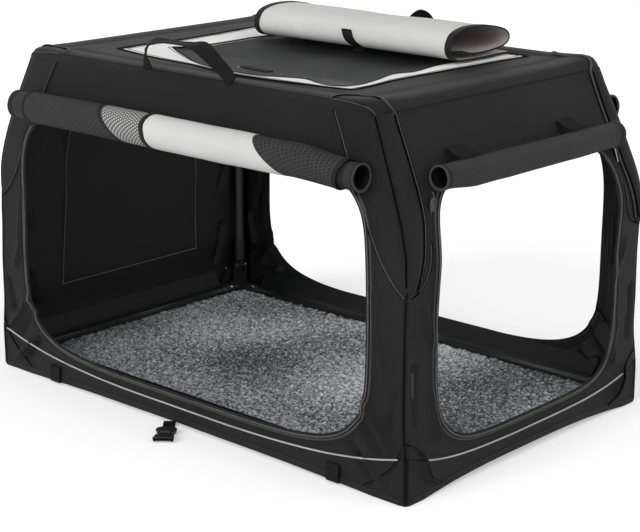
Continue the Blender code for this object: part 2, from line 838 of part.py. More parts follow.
def roof_roll(look, strap_look):
    # The cover lies back on the roof from its rear seam, curls over at the front and runs back.
    # (share of its reach from front to back, share of its rise)
    outline_shares = (
        (0.98, 0.0),
        (0.70, 0.0),
        (0.30, 0.0),
        (0.10, 0.05),
        (0.0, 0.28),
        (0.01, 0.62),
        (0.10, 0.88),
        (0.33, 1.0),
        (0.65, 0.95),
        (0.92, 0.74),
        (1.0, 0.48),
        (0.92, 0.27),
        (0.70, 0.17),
        (0.38, 0.16),
        (0.16, 0.30),
    )
    lift = ROOF_HEIGHT + ROLL_CLOTH / 2 + GAP
    rise = ROOF_ROLL_RISE - ROLL_CLOTH
    points = [
        Vector((ROOF_ROLL_SHIFT, ROOF_ROLL_FRONT + ROOF_ROLL_REACH * along, lift + rise * up))
        for along, up in outline_shares
    ]
    path = smooth_path(points, 2)
    widths = [ALONG_X * ROOF_ROLL_LENGTH] * len(path)
    print("roof roll, least gap between layers:", round(least_layer_gap(path, ROLL_CLOTH), 4))
    faces = across_faces(path, ALONG_X)
    place("roof_cover_roll", ribbon(path, widths, ROLL_CLOTH, faces), look)
    away = (ROLL_CLOTH + WEBBING_THICKNESS) / 2 + GAP
    aside = ALONG_X * (ROLL_STRAP_AT - ROOF_ROLL_SHIFT)
    covered = slice(2 * STRAP_FIRST, 2 * STRAP_LAST + 1)
    strap = [point + aside - face * away for point, face in zip(path[covered], faces[covered])]
    widths = [ALONG_X * WEBBING] * len(strap)
    shape = ribbon(strap, widths, WEBBING_THICKNESS, faces[covered])
    place("roof_roll_strap", shape, strap_look)


def wall_face(side, height):
    # How far out a wall's outer face stands at a height.
    half_x, half_y = half_sizes(height)
    return half_y if side in LONG_SIDES else half_x


def spiral(centre, radius, turns, toward):
    # A roll's cloth from its outer edge, at the top, round by the wall and inwards.
    path = []
    for i in range(round(turns * ROLL_STEPS) + 1):
        turn = 2 * math.pi * (1 / 4 + i / ROLL_STEPS)
        reach = radius - (ROLL_CLOTH + ROLL_LAYER_GAP) * i / ROLL_STEPS
        path.append(centre + (toward * math.cos(turn) + UP * math.sin(turn)) * reach)
    return path


def roll_centre(side, height, radius):
    # Where a roll's middle lies, for its outer turn to rest against the wall.
    toward = SIDES[side][1]
    turn = spiral(UP * height, radius - ROLL_CLOTH / 2, 1.0, toward)
    nearest = min(point.dot(toward) - wall_face(side, point.z) for point in turn)
    return toward * (ROLL_STAND_OFF - nearest) + UP * height


def rolled_door(name, side, centre, start, end, radius, turns, look):
    along, toward = SIDES[side]
    if abs(along.x) > abs(along.y):
        along = ALONG_X
    path = spiral(centre + along * (start + end) / 2, radius - ROLL_CLOTH / 2, turns, toward)
    widths = [along * (end - start)] * len(path)
    if turns > 1:
        print(name, "least gap between layers:", round(least_layer_gap(path, ROLL_CLOTH), 4))
    return place(name, ribbon(path, widths, ROLL_CLOTH, across_faces(path, along)), look)


def door_rolls(fabric_look, light_look):
    half = BODY_LENGTH / 2
    long_ends = (DOOR_ROLL_LEFT_INSET - half, half - DOOR_ROLL_RIGHT_INSET)
    cover_radius = DOOR_ROLL_COVER / 2
    radius = cover_radius - ROLL_CLOTH - GAP
    front = roll_centre("front", DOOR_ROLL_HEIGHT, cover_radius)
    rolled_door("front_door_roll", "front", front, *long_ends, radius, ROLL_TURNS, fabric_look)
    cover_ends = (COVER_LEFT_INSET - half, half - COVER_RIGHT_INSET)
    rolled_door(
        "front_door_cover_roll", "front", front, *cover_ends, cover_radius, COVER_TURNS, light_look
    )
    back = roll_centre("back", DOOR_ROLL_HEIGHT, radius)
    rolled_door("back_door_roll", "back", back, *long_ends, radius, ROLL_TURNS, fabric_look)
    radius = END_ROLL / 2
    right = roll_centre("right", END_ROLL_HEIGHT, radius)
    right_ends = (END_ROLL_FRONT_INSET - BODY_DEPTH / 2, BODY_DEPTH / 2 - END_ROLL_BACK_INSET)
    rolled_door("right_door_roll", "right", right, *right_ends, radius, ROLL_TURNS, fabric_look)


# Handles, straps, buckles and zips


def handle(side, look):
    # A webbing loop that leans to one end: (share of the way from its left end to its right, share of its
    # rise, share of a quarter turn that the webbing has made)
    loop_shares = (
        (0.0, 0.0, 0.0),
        (-0.02, 0.42, 0.1),
        (0.03, 0.76, 0.5),
        (0.14, 0.88, 1.0),
        (0.34, 0.91, 1.0),
        (0.58, 0.92, 0.95),
        (0.70, 0.81, 0.6),
        (0.83, 0.52, 0.15),
        (0.94, 0.24, 0.0),
        (1.0, 0.0, 0.0),
    )
    way = LONG_SIDES[side]
    edge = half_sizes(ROOF_HEIGHT)[1] - EAVES_CURVE / 4
    out = way * (edge + HANDLE_STAND_OFF + HANDLE_THICKNESS / 2)
    foot = ROOF_HEIGHT - EAVES_CURVE / 4 + HANDLE_LIFT
    pivot = Vector((0, out, foot))
    span = HANDLE_RIGHT - HANDLE_LEFT
    points = [
        Vector((-way * (HANDLE_LEFT + span * along), out, foot + HANDLE_RISE * up))
        for along, up, _ in loop_shares
    ]
    ways = [UP, *directions(points)[1:-1], -UP]
    widths = []
    faces = []
    for direction, (_, _, turn_share) in zip(ways, loop_shares):
        turn = turn_share * math.pi / 2
        in_plane = direction.cross(ALONG_Y)
        width = in_plane * math.cos(turn) + ALONG_Y * math.sin(turn)
        widths.append(width * HANDLE_WEBBING)
        faces.append(direction.cross(width))
    shape = ribbon(points, widths, HANDLE_THICKNESS, faces)
    return place(f"{side}_handle", shape, look, pivot)


def strap_frame(side):
    way = LONG_SIDES[side]
    turn = Matrix.Rotation(math.radians(STRAP_TURN_DEG), 4, UP)
    direction = turn @ (ALONG_Y * way)
    start = Vector((-way * STRAP_AT, way * (BODY_DEPTH / 2 + STRAP_STAND_OFF), 0))
    return start, direction, direction.cross(UP)


def closing_strap(side, strap_look, buckle_look):
    # A short strap from the hem that lies on the ground, with half of a side-release buckle.
    start, direction, across = strap_frame(side)
    pivot = start + UP * STRAP_RISE
    rest = WEBBING_THICKNESS / 2
    sag_shares = (
        (0.0, 1.0),
        (0.25, 0.5),
        (0.5, 0.1),
        (0.75, 0.0),
        (1.0, 0.0),
    )
    path = [
        start + direction * STRAP_LENGTH * along + UP * (rest + (STRAP_RISE - rest) * up)
        for along, up in sag_shares
    ]
    widths = [across * STRAP_WEBBING] * len(path)
    faces = [way.cross(across) for way in directions(path)]
    place(
        f"{side}_closing_strap", ribbon(path, widths, WEBBING_THICKNESS, faces), strap_look, pivot
    )
    turn = Matrix.Rotation(math.atan2(direction.y, direction.x), 4, UP)
    near = STRAP_LENGTH + GAP
    middle = start + direction * (near + BUCKLE_LENGTH / 2) + UP * BUCKLE_THICKNESS / 2
    name = "female_buckle" if side == "front" else "male_buckle"
    if side == "front":
        shell = bevelled_box(
            middle, Vector((BUCKLE_LENGTH, BUCKLE_WIDTH, BUCKLE_THICKNESS)), BUCKLE_BEVEL, turn
        )
        room = box(
            middle + direction * (BUCKLE_LENGTH - BUCKLE_ROOM + OVERRUN) / 2,
            Vector(
                (BUCKLE_ROOM + OVERRUN, BUCKLE_WIDTH - 4 * BUCKLE_WALL, BUCKLE_THICKNESS - 2 * BUCKLE_WALL)
            ),
            turn,
        )
        joined(name, shell, [], [room], buckle_look, pivot)
        return
    body_length = BUCKLE_LENGTH - PRONG_LENGTH
    thickness = BUCKLE_THICKNESS - 2 * BUCKLE_WALL
    body_middle = start + direction * (near + body_length / 2) + UP * thickness / 2
    body = bevelled_box(
        body_middle, Vector((body_length, BUCKLE_WIDTH, thickness)), BUCKLE_BEVEL, turn
    )
    reach = near + body_length - BUCKLE_WALL + PRONG_LENGTH / 2
    spread = BUCKLE_WIDTH / 2 - 2 * BUCKLE_WALL - PRONG_WIDTH / 2 - GAP
    prongs = [
        box(
            start + direction * reach + across * offset + UP * thickness / 2,
            Vector((PRONG_LENGTH, PRONG_WIDTH, thickness - 2 * GAP)),
            turn,
        )
        for offset in (-spread, 0.0, spread)
    ]
    joined(name, body, prongs, [], buckle_look, pivot)


def zip_parts(metal_look, cord_look):
    slider_y = WINDOW_SHIFT_DEPTH - WINDOW_DEPTH / 2 + WINDOW_BORDER / 2
    slider = bevelled_box(
        Vector((SLIDER_AT, slider_y, ROOF_HEIGHT + GAP + SLIDER_THICKNESS / 2)),
        Vector((SLIDER_LENGTH, SLIDER_WIDTH, SLIDER_THICKNESS)),
        SLIDER_THICKNESS / 4,
    )
    place("roof_zip_slider", slider, metal_look, Vector((SLIDER_AT, slider_y, ROOF_HEIGHT)))
    top, low = PULL_TOP, PULL_TOP - PULL_LENGTH
    lean = math.atan2(wall_face("right", low) - wall_face("right", top), PULL_LENGTH)
    turn = Matrix.Rotation(-lean, 4, ALONG_Y)
    stand_off = (PULL_THICKNESS / 2 + GAP) / math.cos(lean)
    pivot = Vector((wall_face("right", top) + stand_off, PULL_FROM_FRONT - BODY_DEPTH / 2, top))
    pull = bevelled_box(
        pivot - turn @ UP * PULL_LENGTH / 2,
        Vector((PULL_THICKNESS, PULL_WIDTH, PULL_LENGTH)),
        PULL_THICKNESS / 4,
        turn,
    )
    place("right_door_zip_pull", pull, cord_look, pivot)


def build():
    clear_scene()
    fabric = finish("black_polyester", (0.018, 0.018, 0.020), 0.75)
    light = finish("light_grey_polyester", (0.62, 0.62, 0.60), 0.70)
    net = finish("dark_mesh", (0.035, 0.036, 0.038), 0.80)
    fleece = finish("grey_fleece", (0.24, 0.25, 0.27), 0.95)
    piping = finish("reflective_piping", (0.40, 0.41, 0.42), 0.45)
    webbing = finish("black_webbing", (0.012, 0.012, 0.013), 0.80)
    tube = finish("powder_coated_steel", (0.030, 0.031, 0.034), 0.35, 0.2)
    moulding = finish("black_nylon", (0.015, 0.015, 0.016), 0.45)
    steel = finish("zinc_plated_steel", (0.60, 0.60, 0.58), 0.30, 1.0)

    rectangle_tubes("base", FRAME_X, FRAME_Y, BASE_TUBE_HEIGHT, tube)
    rectangle_tubes("roof", ROOF_FRAME_X, ROOF_FRAME_Y, ROOF_TUBE_HEIGHT, tube)
    end_frames(tube, moulding, steel)
    floor_tray(fabric)
    for side in SIDES:
        wall(side, fabric)
    seam_piping(piping)
    hem_loop("hem_loop_left", LEFT_LOOP_FROM_END - BODY_LENGTH / 2, webbing)
    hem_loop("hem_loop_right", BODY_LENGTH / 2 - RIGHT_LOOP_FROM_END, webbing)
    floor_mat(fleece)
    roof_panel(fabric)
    window_parts(light, net)
    roof_roll(light, webbing)
    door_rolls(fabric, light)
    for side in LONG_SIDES:
        handle(side, webbing)
        closing_strap(side, webbing, moulding)
    zip_parts(steel, webbing)


build()
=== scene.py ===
import math

import bmesh
import bpy
from mathutils import Matrix, Vector, noise


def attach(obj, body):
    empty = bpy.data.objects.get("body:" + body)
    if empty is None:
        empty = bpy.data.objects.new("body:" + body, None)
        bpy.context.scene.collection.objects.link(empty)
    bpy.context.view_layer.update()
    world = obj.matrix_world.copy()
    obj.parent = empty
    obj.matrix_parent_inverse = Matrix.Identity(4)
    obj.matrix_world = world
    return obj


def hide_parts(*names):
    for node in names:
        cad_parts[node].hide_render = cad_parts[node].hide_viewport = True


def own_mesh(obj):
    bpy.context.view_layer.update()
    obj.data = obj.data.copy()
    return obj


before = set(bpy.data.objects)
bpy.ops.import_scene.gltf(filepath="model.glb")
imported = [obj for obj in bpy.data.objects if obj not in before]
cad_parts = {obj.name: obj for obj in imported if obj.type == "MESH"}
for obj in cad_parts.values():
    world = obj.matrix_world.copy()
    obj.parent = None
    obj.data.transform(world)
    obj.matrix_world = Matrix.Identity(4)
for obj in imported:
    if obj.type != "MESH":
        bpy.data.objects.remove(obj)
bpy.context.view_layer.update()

scene = bpy.context.scene
scene.view_settings.view_transform = "Standard"

# camera, lamps and floor
camera = {
    "place": (1.895, -2.036, 1.001), "tilt": 74.0, "turn": 42.6, "lens": 98.04, "sensor": 36.0,
}
lamps = {
    "sky": 0.52,
    "key": {"strength": 2.45, "spread": 45.0, "tilt": (68.0, -4.0, 0.0)},
    "side": {"strength": 1.15, "spread": 60.0, "tilt": (0.0, 58.0, 8.0)},
}


def setUpView():
    made = bpy.data.cameras.new("studioCamera")
    made.lens = camera["lens"]
    made.sensor_width = camera["sensor"]
    holder = bpy.data.objects.new("studioCamera", made)
    holder.location = camera["place"]
    holder.rotation_euler = (math.radians(camera["tilt"]), 0.0, math.radians(camera["turn"]))
    scene.collection.objects.link(holder)
    scene.camera = holder
    for name in ("key", "side"):
        values = lamps[name]
        lamp = bpy.data.lights.new(name + "Lamp", "SUN")
        lamp.energy = values["strength"]
        lamp.angle = math.radians(values["spread"])
        stand = bpy.data.objects.new(name + "Lamp", lamp)
        stand.rotation_euler = [math.radians(part) for part in values["tilt"]]
        scene.collection.objects.link(stand)


setUpView()
print("camera and lamps stand")


# shader nodes as expressions
class Wire:
    def __init__(self, tree, socket):
        self.tree = tree
        self.socket = socket

    def node(self, kind, settings, inputs, output=0):
        made = self.tree.nodes.new(kind)
        for name, value in settings.items():
            if name != "stops":
                setattr(made, name, value)
                continue
            for i, (place, colour) in enumerate(value):
                stop = made.color_ramp.elements[i] if i < 2 else made.color_ramp.elements.new(place)
                stop.position = place
                stop.color = (*colour, 1.0)
        for name, value in inputs.items():
            if isinstance(value, Wire):
                self.tree.links.new(value.socket, made.inputs[name])
            else:
                made.inputs[name].default_value = value
        return Wire(self.tree, made.outputs[output])

    def maths(self, operation, *others):
        inputs = {i: other for i, other in enumerate((self, *others))}
        return self.node("ShaderNodeMath", {"operation": operation}, inputs)

    def __add__(self, other):
        return self.maths("ADD", other)

    def __sub__(self, other):
        return self.maths("SUBTRACT", other)

    def __rsub__(self, other):
        return self.node("ShaderNodeMath", {"operation": "SUBTRACT"}, {0: other, 1: self})

    def __mul__(self, other):
        return self.maths("MULTIPLY", other)

    __radd__ = __add__
    __rmul__ = __mul__

    def sine(self, pitch, shift=0.0):
        return (self * (2 * math.pi / pitch) + shift).maths("SINE")

    def above(self, level, soft):
        # 0 below the level, 1 above it, with a soft step
        inputs = {"Value": self, "From Min": level - soft, "From Max": level + soft}
        return self.node("ShaderNodeMapRange", {"interpolation_type": "SMOOTHSTEP"}, inputs)

    def part(self, name):
        return self.node("ShaderNodeSeparateXYZ", {}, {0: self}, "XYZ".index(name))

    def noise(self, scale, detail=2.0, roughness=0.5):
        inputs = {"Vector": self, "Scale": scale, "Detail": detail, "Roughness": roughness}
        return self.node("ShaderNodeTexNoise", {}, inputs)

    def grain(self, name):
        return self.noise(*grains[name])

    def mix(self, first, second):
        # this wire is the factor between two colours
        first, second = (end if isinstance(end, Wire) else (*end, 1.0) for end in (first, second))
        inputs = {0: self, 6: first, 7: second}
        return self.node("ShaderNodeMix", {"data_type": "RGBA"}, inputs, 2)

    def bump(self, strength, distance):
        inputs = {"Strength": strength, "Distance": distance, "Height": self}
        return self.node("ShaderNodeBump", {}, inputs)


def newFinish(name, **fixed):
    # a Principled material with its fixed values, and wires for the place on the object and the cloth
    made = bpy.data.materials.new(name)
    made.use_nodes = True
    tree = made.node_tree
    shader = tree.nodes["Principled BSDF"]
    for socket, value in fixed.items():
        shader.inputs[socket.replace("_", " ")].default_value = value
    where = tree.nodes.new("ShaderNodeTexCoord")

    def plug(socket, wire):
        tree.links.new(wire.socket, shader.inputs[socket])

    return made, plug, Wire(tree, where.outputs["Object"]), Wire(tree, where.outputs["UV"])


# noises over a surface: scale, then detail and roughness where they aren't 2 and a half
grains = {
    "slubs": (420.0, 3.0, 0.6), "clouds": (9.0, 4.0, 0.55), "rubs": (31.0, 5.0, 0.65),
    "fuzz": (700.0, 2.0, 0.6), "warps": (25.0, 3.0), "fibre": (500.0,), "shade": (22.0, 3.0, 0.6),
    "fine": (480.0, 3.0, 0.75), "clumps": (165.0, 3.0, 0.65), "patches": (11.0, 3.0, 0.55),
    "cord": (240.0, 2.0, 0.6), "soil": (18.0, 4.0, 0.6), "twine": (60.0,), "stains": (14.0, 4.0, 0.6),
    "scuffs": (55.0, 6.0, 0.75),
}


def wovenCloth(name, look):
    # coated woven cloth: threads, slubs, soft stains and rubbed spots
    made, plug, spot, _ = newFinish(name, Specular_IOR_Level=look["gloss"])
    across = spot.part("X") + spot.part("Y")
    up = spot.part("Z") + spot.part("Y") * 0.35
    threads = across.sine(look["thread"]) * up.sine(look["thread"])
    slubs, clouds = spot.grain("slubs"), spot.grain("clouds")
    rubbed = spot.grain("rubs").above(level=0.62, soft=0.12)
    tone = clouds * 0.55 + slubs * 0.3 + threads * 0.08 + rubbed * look["wear"]
    plug("Base Color", tone.above(level=0.48, soft=0.42).mix(look["dark"], look["light"]))
    plug("Roughness", clouds * 0.14 + slubs * 0.1 + (look["rough"] - 0.12))
    height = threads * 0.32 + slubs * 0.9 + clouds * look["creases"]
    plug("Normal", height.bump(look["relief"], distance=0.0012))
    return made


clothLooks = {
    "blackCloth": {
        "dark": (0.0052, 0.0051, 0.0052), "light": (0.015, 0.0147, 0.0147), "gloss": 0.14,
        "thread": 0.0011, "rough": 0.56, "wear": 0.12, "creases": 3.4, "relief": 0.62,
    },
    # the inner face of the same black cloth, darker than its outer face: painted shade inside the crate
    "innerCloth": {
        "dark": (0.0038, 0.004, 0.0042), "light": (0.0072, 0.0075, 0.0079), "gloss": 0.2,
        "thread": 0.0011, "rough": 0.48, "wear": 0.05, "creases": 3.0, "relief": 0.35,
    },
    "lightGreyCloth": {
        "dark": (0.455, 0.455, 0.449), "light": (0.57, 0.57, 0.562), "gloss": 0.2,
        "thread": 0.0009, "rough": 0.64, "wear": 0.05, "creases": 1.2, "relief": 0.2,
    },
    "borderCloth": {
        "dark": (0.69, 0.69, 0.68), "light": (0.8, 0.8, 0.79), "gloss": 0.2,
        "thread": 0.0009, "rough": 0.64, "wear": 0.04, "creases": 1.2, "relief": 0.2,
    },
    "seamShadow": {
        "dark": (0.0012, 0.0012, 0.0012), "light": (0.0028, 0.0028, 0.0029), "gloss": 0.03,
        "thread": 0.0014, "rough": 0.8, "wear": 0.04, "creases": 0.6, "relief": 0.45,
    },
    "taupeLining": {
        "dark": (0.4, 0.362, 0.345), "light": (0.5, 0.46, 0.44), "gloss": 0.22,
        "thread": 0.0009, "rough": 0.6, "wear": 0.08, "creases": 1.6, "relief": 0.22,
    },
    "bindingTape": {
        "dark": (0.006, 0.006, 0.0063), "light": (0.0125, 0.0125, 0.0128), "gloss": 0.13,
        "thread": 0.0016, "rough": 0.56, "wear": 0.1, "creases": 0.8, "relief": 0.55,
    },
    # raised seam cords, lighter than the black cloth round them: a painted highlight
    "seamRidge": {
        "dark": (0.026, 0.0259, 0.0261), "light": (0.056, 0.0557, 0.056), "gloss": 0.28,
        "thread": 0.0014, "rough": 0.6, "wear": 0.22, "creases": 0.6, "relief": 0.45,
    },
}

# webbing: pitch of its ribs, and of the wave in them with its height
webbingLook = {
    "dark": (0.003, 0.003, 0.0032), "light": (0.0088, 0.0087, 0.0089), "gloss": 0.1, "rib": 0.0017,
    "wave": (0.0032, 0.0003), "rough": 0.58,
}


def webbingFinish(name, look):
    # ribs across the strap, from edge to edge
    made, plug, spot, cut = newFinish(name, Specular_IOR_Level=look["gloss"])
    pitch, height = look["wave"]
    ribs = (cut.part("Y") + cut.part("X").sine(pitch) * height).sine(look["rib"])
    fuzz = spot.grain("fuzz")
    tone = ribs * 0.22 + fuzz * 0.5 + spot.grain("warps") * 0.4
    plug("Base Color", tone.above(level=0.45, soft=0.4).mix(look["dark"], look["light"]))
    plug("Roughness", fuzz * 0.2 + look["rough"])
    plug("Normal", (ribs * 0.6 + fuzz * 0.5).bump(strength=0.6, distance=0.0006))
    return made


def netFinish(name, look):
    # open hexagonal net: holes where three waves meet, in the tone of what lies behind; that is grey
    # cloth under one net and painted shade under the others
    made, plug, spot, cut = newFinish(name, Specular_IOR_Level=0.25)
    u, v = cut.part("X"), cut.part("Y")
    ways = (u, u * 0.5 + v * 0.866, u * 0.5 - v * 0.866)
    first, second, third = (way.sine(look["pitch"], shift=1.57) for way in ways)
    threads = 1.0 - (first + second + third).above(look["hole"], soft=0.55)
    fibre = spot.grain("fibre")
    shade = spot.grain("shade") * 0.5 + fibre * 0.5
    plug("Base Color", threads.mix(look["behind"], shade.mix(look["dark"], look["light"])))
    plug("Roughness", fibre * 0.2 + threads * 0.05 + 0.55)
    plug("Normal", (threads + fibre * 0.3).bump(look["relief"], distance=0.0009))
    if look.get("open"):
        plug("Alpha", threads * look["open"] + (1.0 - look["open"]))
    return made


# behind is the tone in the holes: the grey cloth under netOverGrey, and painted shade for the dark
# inside of a roll or of the crate under the coarse net and the partly see-through window net
netLooks = {
    "coarseNet": {
        "pitch": 0.0046, "hole": 0.2, "relief": 0.9, "behind": (0.003, 0.003, 0.0032),
        "dark": (0.007, 0.007, 0.0074), "light": (0.042, 0.042, 0.043),
    },
    "netOverGrey": {
        "pitch": 0.0042, "hole": 0.1, "relief": 0.5, "behind": (0.4, 0.4, 0.395),
        "dark": (0.03, 0.03, 0.03), "light": (0.07, 0.07, 0.07),
    },
    "windowNet": {
        "pitch": 0.0019, "hole": 0.9, "relief": 0.25, "behind": (0.0095, 0.0099, 0.0106),
        "dark": (0.0115, 0.0119, 0.0127), "light": (0.021, 0.0217, 0.0232), "open": 0.4,
    },
}
# fleece: scale of its curls, mid height of the pile and how fast the tone changes with height; the tone
# rises with height, so the roots between the tufts are painted dark as shade
fleeceLook = {
    "curls": 330.0, "middle": 0.025, "steep": 95.0,
    "stops": ((0.35, (0.026, 0.029, 0.035)), (0.58, (0.76, 0.775, 0.81)), (0.455, (0.27, 0.28, 0.302))),
}


def fleeceFinish(name, look):
    # short curly pile: light tips, and roots between the tufts painted darker as shade
    made, plug, spot, _ = newFinish(name, Specular_IOR_Level=0.06, Sheen_Weight=0.1, Roughness=0.95)
    curls = spot.node("ShaderNodeTexVoronoi", {}, {"Vector": spot, "Scale": look["curls"]})
    fine, clumps, patches = (spot.grain(kind) for kind in ("fine", "clumps", "patches"))
    heightShade = ((spot.part("Z") - look["middle"]) * look["steep"]).above(level=0.0, soft=0.33)
    tone = clumps * 0.22 + fine * 0.3 + patches * 0.07 + 0.035 - curls * 0.1 + heightShade * 0.3
    plug("Base Color", tone.node("ShaderNodeValToRGB", {"stops": look["stops"]}, {0: tone}))
    plug("Normal", (fine * 0.6 + clumps - curls * 0.7).bump(strength=0.9, distance=0.0022))
    return made


pipingLook = {
    "clean": ((0.27, 0.275, 0.28), (0.38, 0.385, 0.39)), "soiled": (0.19, 0.19, 0.19), "rib": 0.0022,
}


def pipingFinish(name, look):
    # reflective cord: pale, faintly glossy, with fine spiral ribs
    made, plug, spot, _ = newFinish(name, Specular_IOR_Level=0.5)
    grain = spot.grain("cord")
    soil = spot.grain("soil").above(level=0.58, soft=0.15)
    plug("Base Color", (soil * 0.55).mix(grain.mix(*look["clean"]), look["soiled"]))
    plug("Roughness", grain * 0.25 + 0.32)
    ribs = (spot.part("X") + spot.part("Y")).sine(look["rib"])
    plug("Normal", (ribs * 0.5 + grain).bump(strength=0.3, distance=0.0004))
    return made


def threadFinish(name, look):
    made, plug, spot, _ = newFinish(name, Specular_IOR_Level=0.3, Roughness=0.6)
    twist = (spot.part("X") + spot.part("Y") + spot.part("Z")).sine(pitch=0.0028)
    plug("Base Color", (twist * 0.35 + spot.grain("twine") * 0.9).mix(look["dark"], look["light"]))
    plug("Normal", twist.bump(strength=0.7, distance=0.0005))
    return made


threadLooks = {
    "greyThread": {"dark": (0.085, 0.085, 0.088), "light": (0.2, 0.2, 0.205)},
    # the black zip coil in a lighter grey: painted glints on its teeth
    "zipTeeth": {"dark": (0.04, 0.04, 0.041), "light": (0.15, 0.15, 0.152)},
    "blackThread": {"dark": (0.024, 0.024, 0.024), "light": (0.052, 0.052, 0.052)},
}


def hardFinish(name, look):
    # metal and mouldings: base tone, scuffs, grain and rubbed high spots
    made, plug, spot, _ = newFinish(name, Metallic=look["metal"], Specular_IOR_Level=look["gloss"])
    grain = spot.noise(look["grain"], detail=3.0, roughness=0.6)
    clouds = spot.grain("stains")
    scuffs = spot.grain("scuffs").above(level=0.63, soft=0.05)
    tone = clouds.above(level=0.5, soft=0.3).mix(look["dark"], look["light"])
    plug("Base Color", (scuffs * look["wear"]).mix(tone, look["worn"]))
    plug("Roughness", grain * 0.15 + scuffs * 0.12 + clouds * 0.1 + look["rough"])
    plug("Normal", (grain + scuffs * 0.3).bump(look["relief"], distance=0.0004))
    return made


hardLooks = {
    "powderCoat": {
        "dark": (0.02, 0.0205, 0.022), "light": (0.034, 0.035, 0.037), "worn": (0.075, 0.075, 0.078),
        "metal": 0.0, "gloss": 0.45, "rough": 0.26, "grain": 900.0, "relief": 0.22, "wear": 0.35,
    },
    "mouldedNylon": {
        "dark": (0.0095, 0.0095, 0.01), "light": (0.0165, 0.0165, 0.017), "worn": (0.045, 0.045, 0.046),
        "metal": 0.0, "gloss": 0.38, "rough": 0.34, "grain": 1300.0, "relief": 0.28, "wear": 0.3,
    },
    "zincPlate": {
        "dark": (0.48, 0.48, 0.47), "light": (0.64, 0.64, 0.63), "worn": (0.33, 0.32, 0.3),
        "metal": 1.0, "gloss": 0.5, "rough": 0.2, "grain": 800.0, "relief": 0.15, "wear": 0.35,
    },
    "pullRubber": {
        "dark": (0.014, 0.014, 0.0145), "light": (0.022, 0.022, 0.0225), "worn": (0.05, 0.05, 0.05),
        "metal": 0.0, "gloss": 0.42, "rough": 0.3, "grain": 1100.0, "relief": 0.25, "wear": 0.3,
    },
}
finishes = {
    "webbing": webbingFinish("ribbedWebbing", webbingLook),
    "fleece": fleeceFinish("greyFleece", fleeceLook),
    "piping": pipingFinish("reflectivePiping", pipingLook),
}
mixers = {wovenCloth: clothLooks, netFinish: netLooks, threadFinish: threadLooks, hardFinish: hardLooks}
for mixer, looks in mixers.items():
    finishes.update({name: mixer(name, look) for name, look in looks.items()})
print("finishes mixed:", len(finishes))

# a pale floor a little below the crate; glow is what it shines towards the camera
floor = {"size": 30.0, "below": 0.0004, "tone": 0.8, "rough": 0.9, "glow": 0.34}


def whiteTo(tree):
    # 1 towards the camera and for what is seen in gloss or through a hole, else 0
    path = tree.nodes.new("ShaderNodeLightPath")
    seen = Wire(tree, path.outputs["Is Camera Ray"])
    for kind in ("Glossy", "Transmission"):
        seen = seen.maths("MAXIMUM", Wire(tree, path.outputs[f"Is {kind} Ray"]))
    return seen


def floorFinish():
    # white to the camera and to gloss, but still darkened by the shadow
    made = bpy.data.materials.new("paleFloor")
    made.use_nodes = True
    tree = made.node_tree
    inputs = tree.nodes["Principled BSDF"].inputs
    inputs["Base Color"].default_value = (floor["tone"], floor["tone"], floor["tone"], 1.0)
    inputs["Roughness"].default_value = floor["rough"]
    inputs["Specular IOR Level"].default_value = 0.0
    inputs["Emission Color"].default_value = (1.0, 1.0, 1.0, 1.0)
    tree.links.new((whiteTo(tree) * floor["glow"]).socket, inputs["Emission Strength"])
    return made


def setUpStage():
    shape = bmesh.new()
    bmesh.ops.create_grid(shape, x_segments=2, y_segments=2, size=floor["size"])
    bmesh.ops.translate(shape, vec=(0.0, 0.0, -floor["below"]), verts=shape.verts)
    mesh = bpy.data.meshes.new("studioFloor")
    shape.to_mesh(mesh)
    shape.free()
    mesh.materials.append(floorFinish())
    made = bpy.data.objects.new("studioFloor", mesh)
    scene.collection.objects.link(made)
    sky = bpy.data.worlds.new("studioSky")
    scene.world = sky
    sky.use_nodes = True
    tree = sky.node_tree
    back = tree.nodes["Background"]
    back.inputs["Color"].default_value = (1.0, 1.0, 1.0, 1.0)
    strength = whiteTo(tree) * (1.0 - lamps["sky"]) + lamps["sky"]
    tree.links.new(strength.socket, back.inputs["Strength"])


setUpStage()
print("floor laid")

# the cloth body's shape, as the frame holds it
crate = {
    "halfLength": 0.455, "halfDepth": 0.2925, "top": 0.56, "eaves": 0.5452, "corner": 0.022,
    "corners": ((0.0, 0.0075), (0.28, 0.0085), (0.42, 0.019), (0.56, 0.022)),
    "insetLength": 0.084, "insetDepth": 0.02, "cloth": 0.0016, "fold": 0.0735, "drop": 0.339,
    "profile": ((0.0, 0.0), (0.0735, 0.0), (0.119, 0.07), (0.259, 0.07), (0.35, 0.012), (0.3857, 0.11),
                (0.4319, 0.32), (0.56, 1.0)),
    "soften": (-0.016, -0.008, 0.0, 0.008, 0.016), "seamGap": 0.0006, "overEaves": 0.0012,
    "strip": ((0.298, 0.0), (0.314, 0.0177), (0.357, 0.0314), (0.403, 0.041), (0.444, 0.042),
              (0.5, 0.038), (0.56, 0.034)),
    # the left end's knee is drawn less tight: how far, at what height and over what height
    "slack": (0.0065, 0.335, 0.075),
    # the padded strip beside the end walls' ridges
    "padding": 0.0052,
}
sideWays = {
    "front": (Vector((1, 0, 0)), Vector((0, -1, 0))),
    "right": (Vector((0, 1, 0)), Vector((1, 0, 0))),
    "back": (Vector((-1, 0, 0)), Vector((0, 1, 0))),
    "left": (Vector((0, -1, 0)), Vector((-1, 0, 0))),
}
sideOrder = ("front", "right", "back", "left")
kinds = {"front": "long", "right": "end", "back": "long", "left": "end"}


def between(knots, value):
    # straight lines through the knots, carried on past the last one
    for (low, first), (high, second) in zip(knots, knots[1:]):
        if value <= high:
            break
    share = (value - low) / (high - low)
    return first + (second - first) * max(share, 0.0)


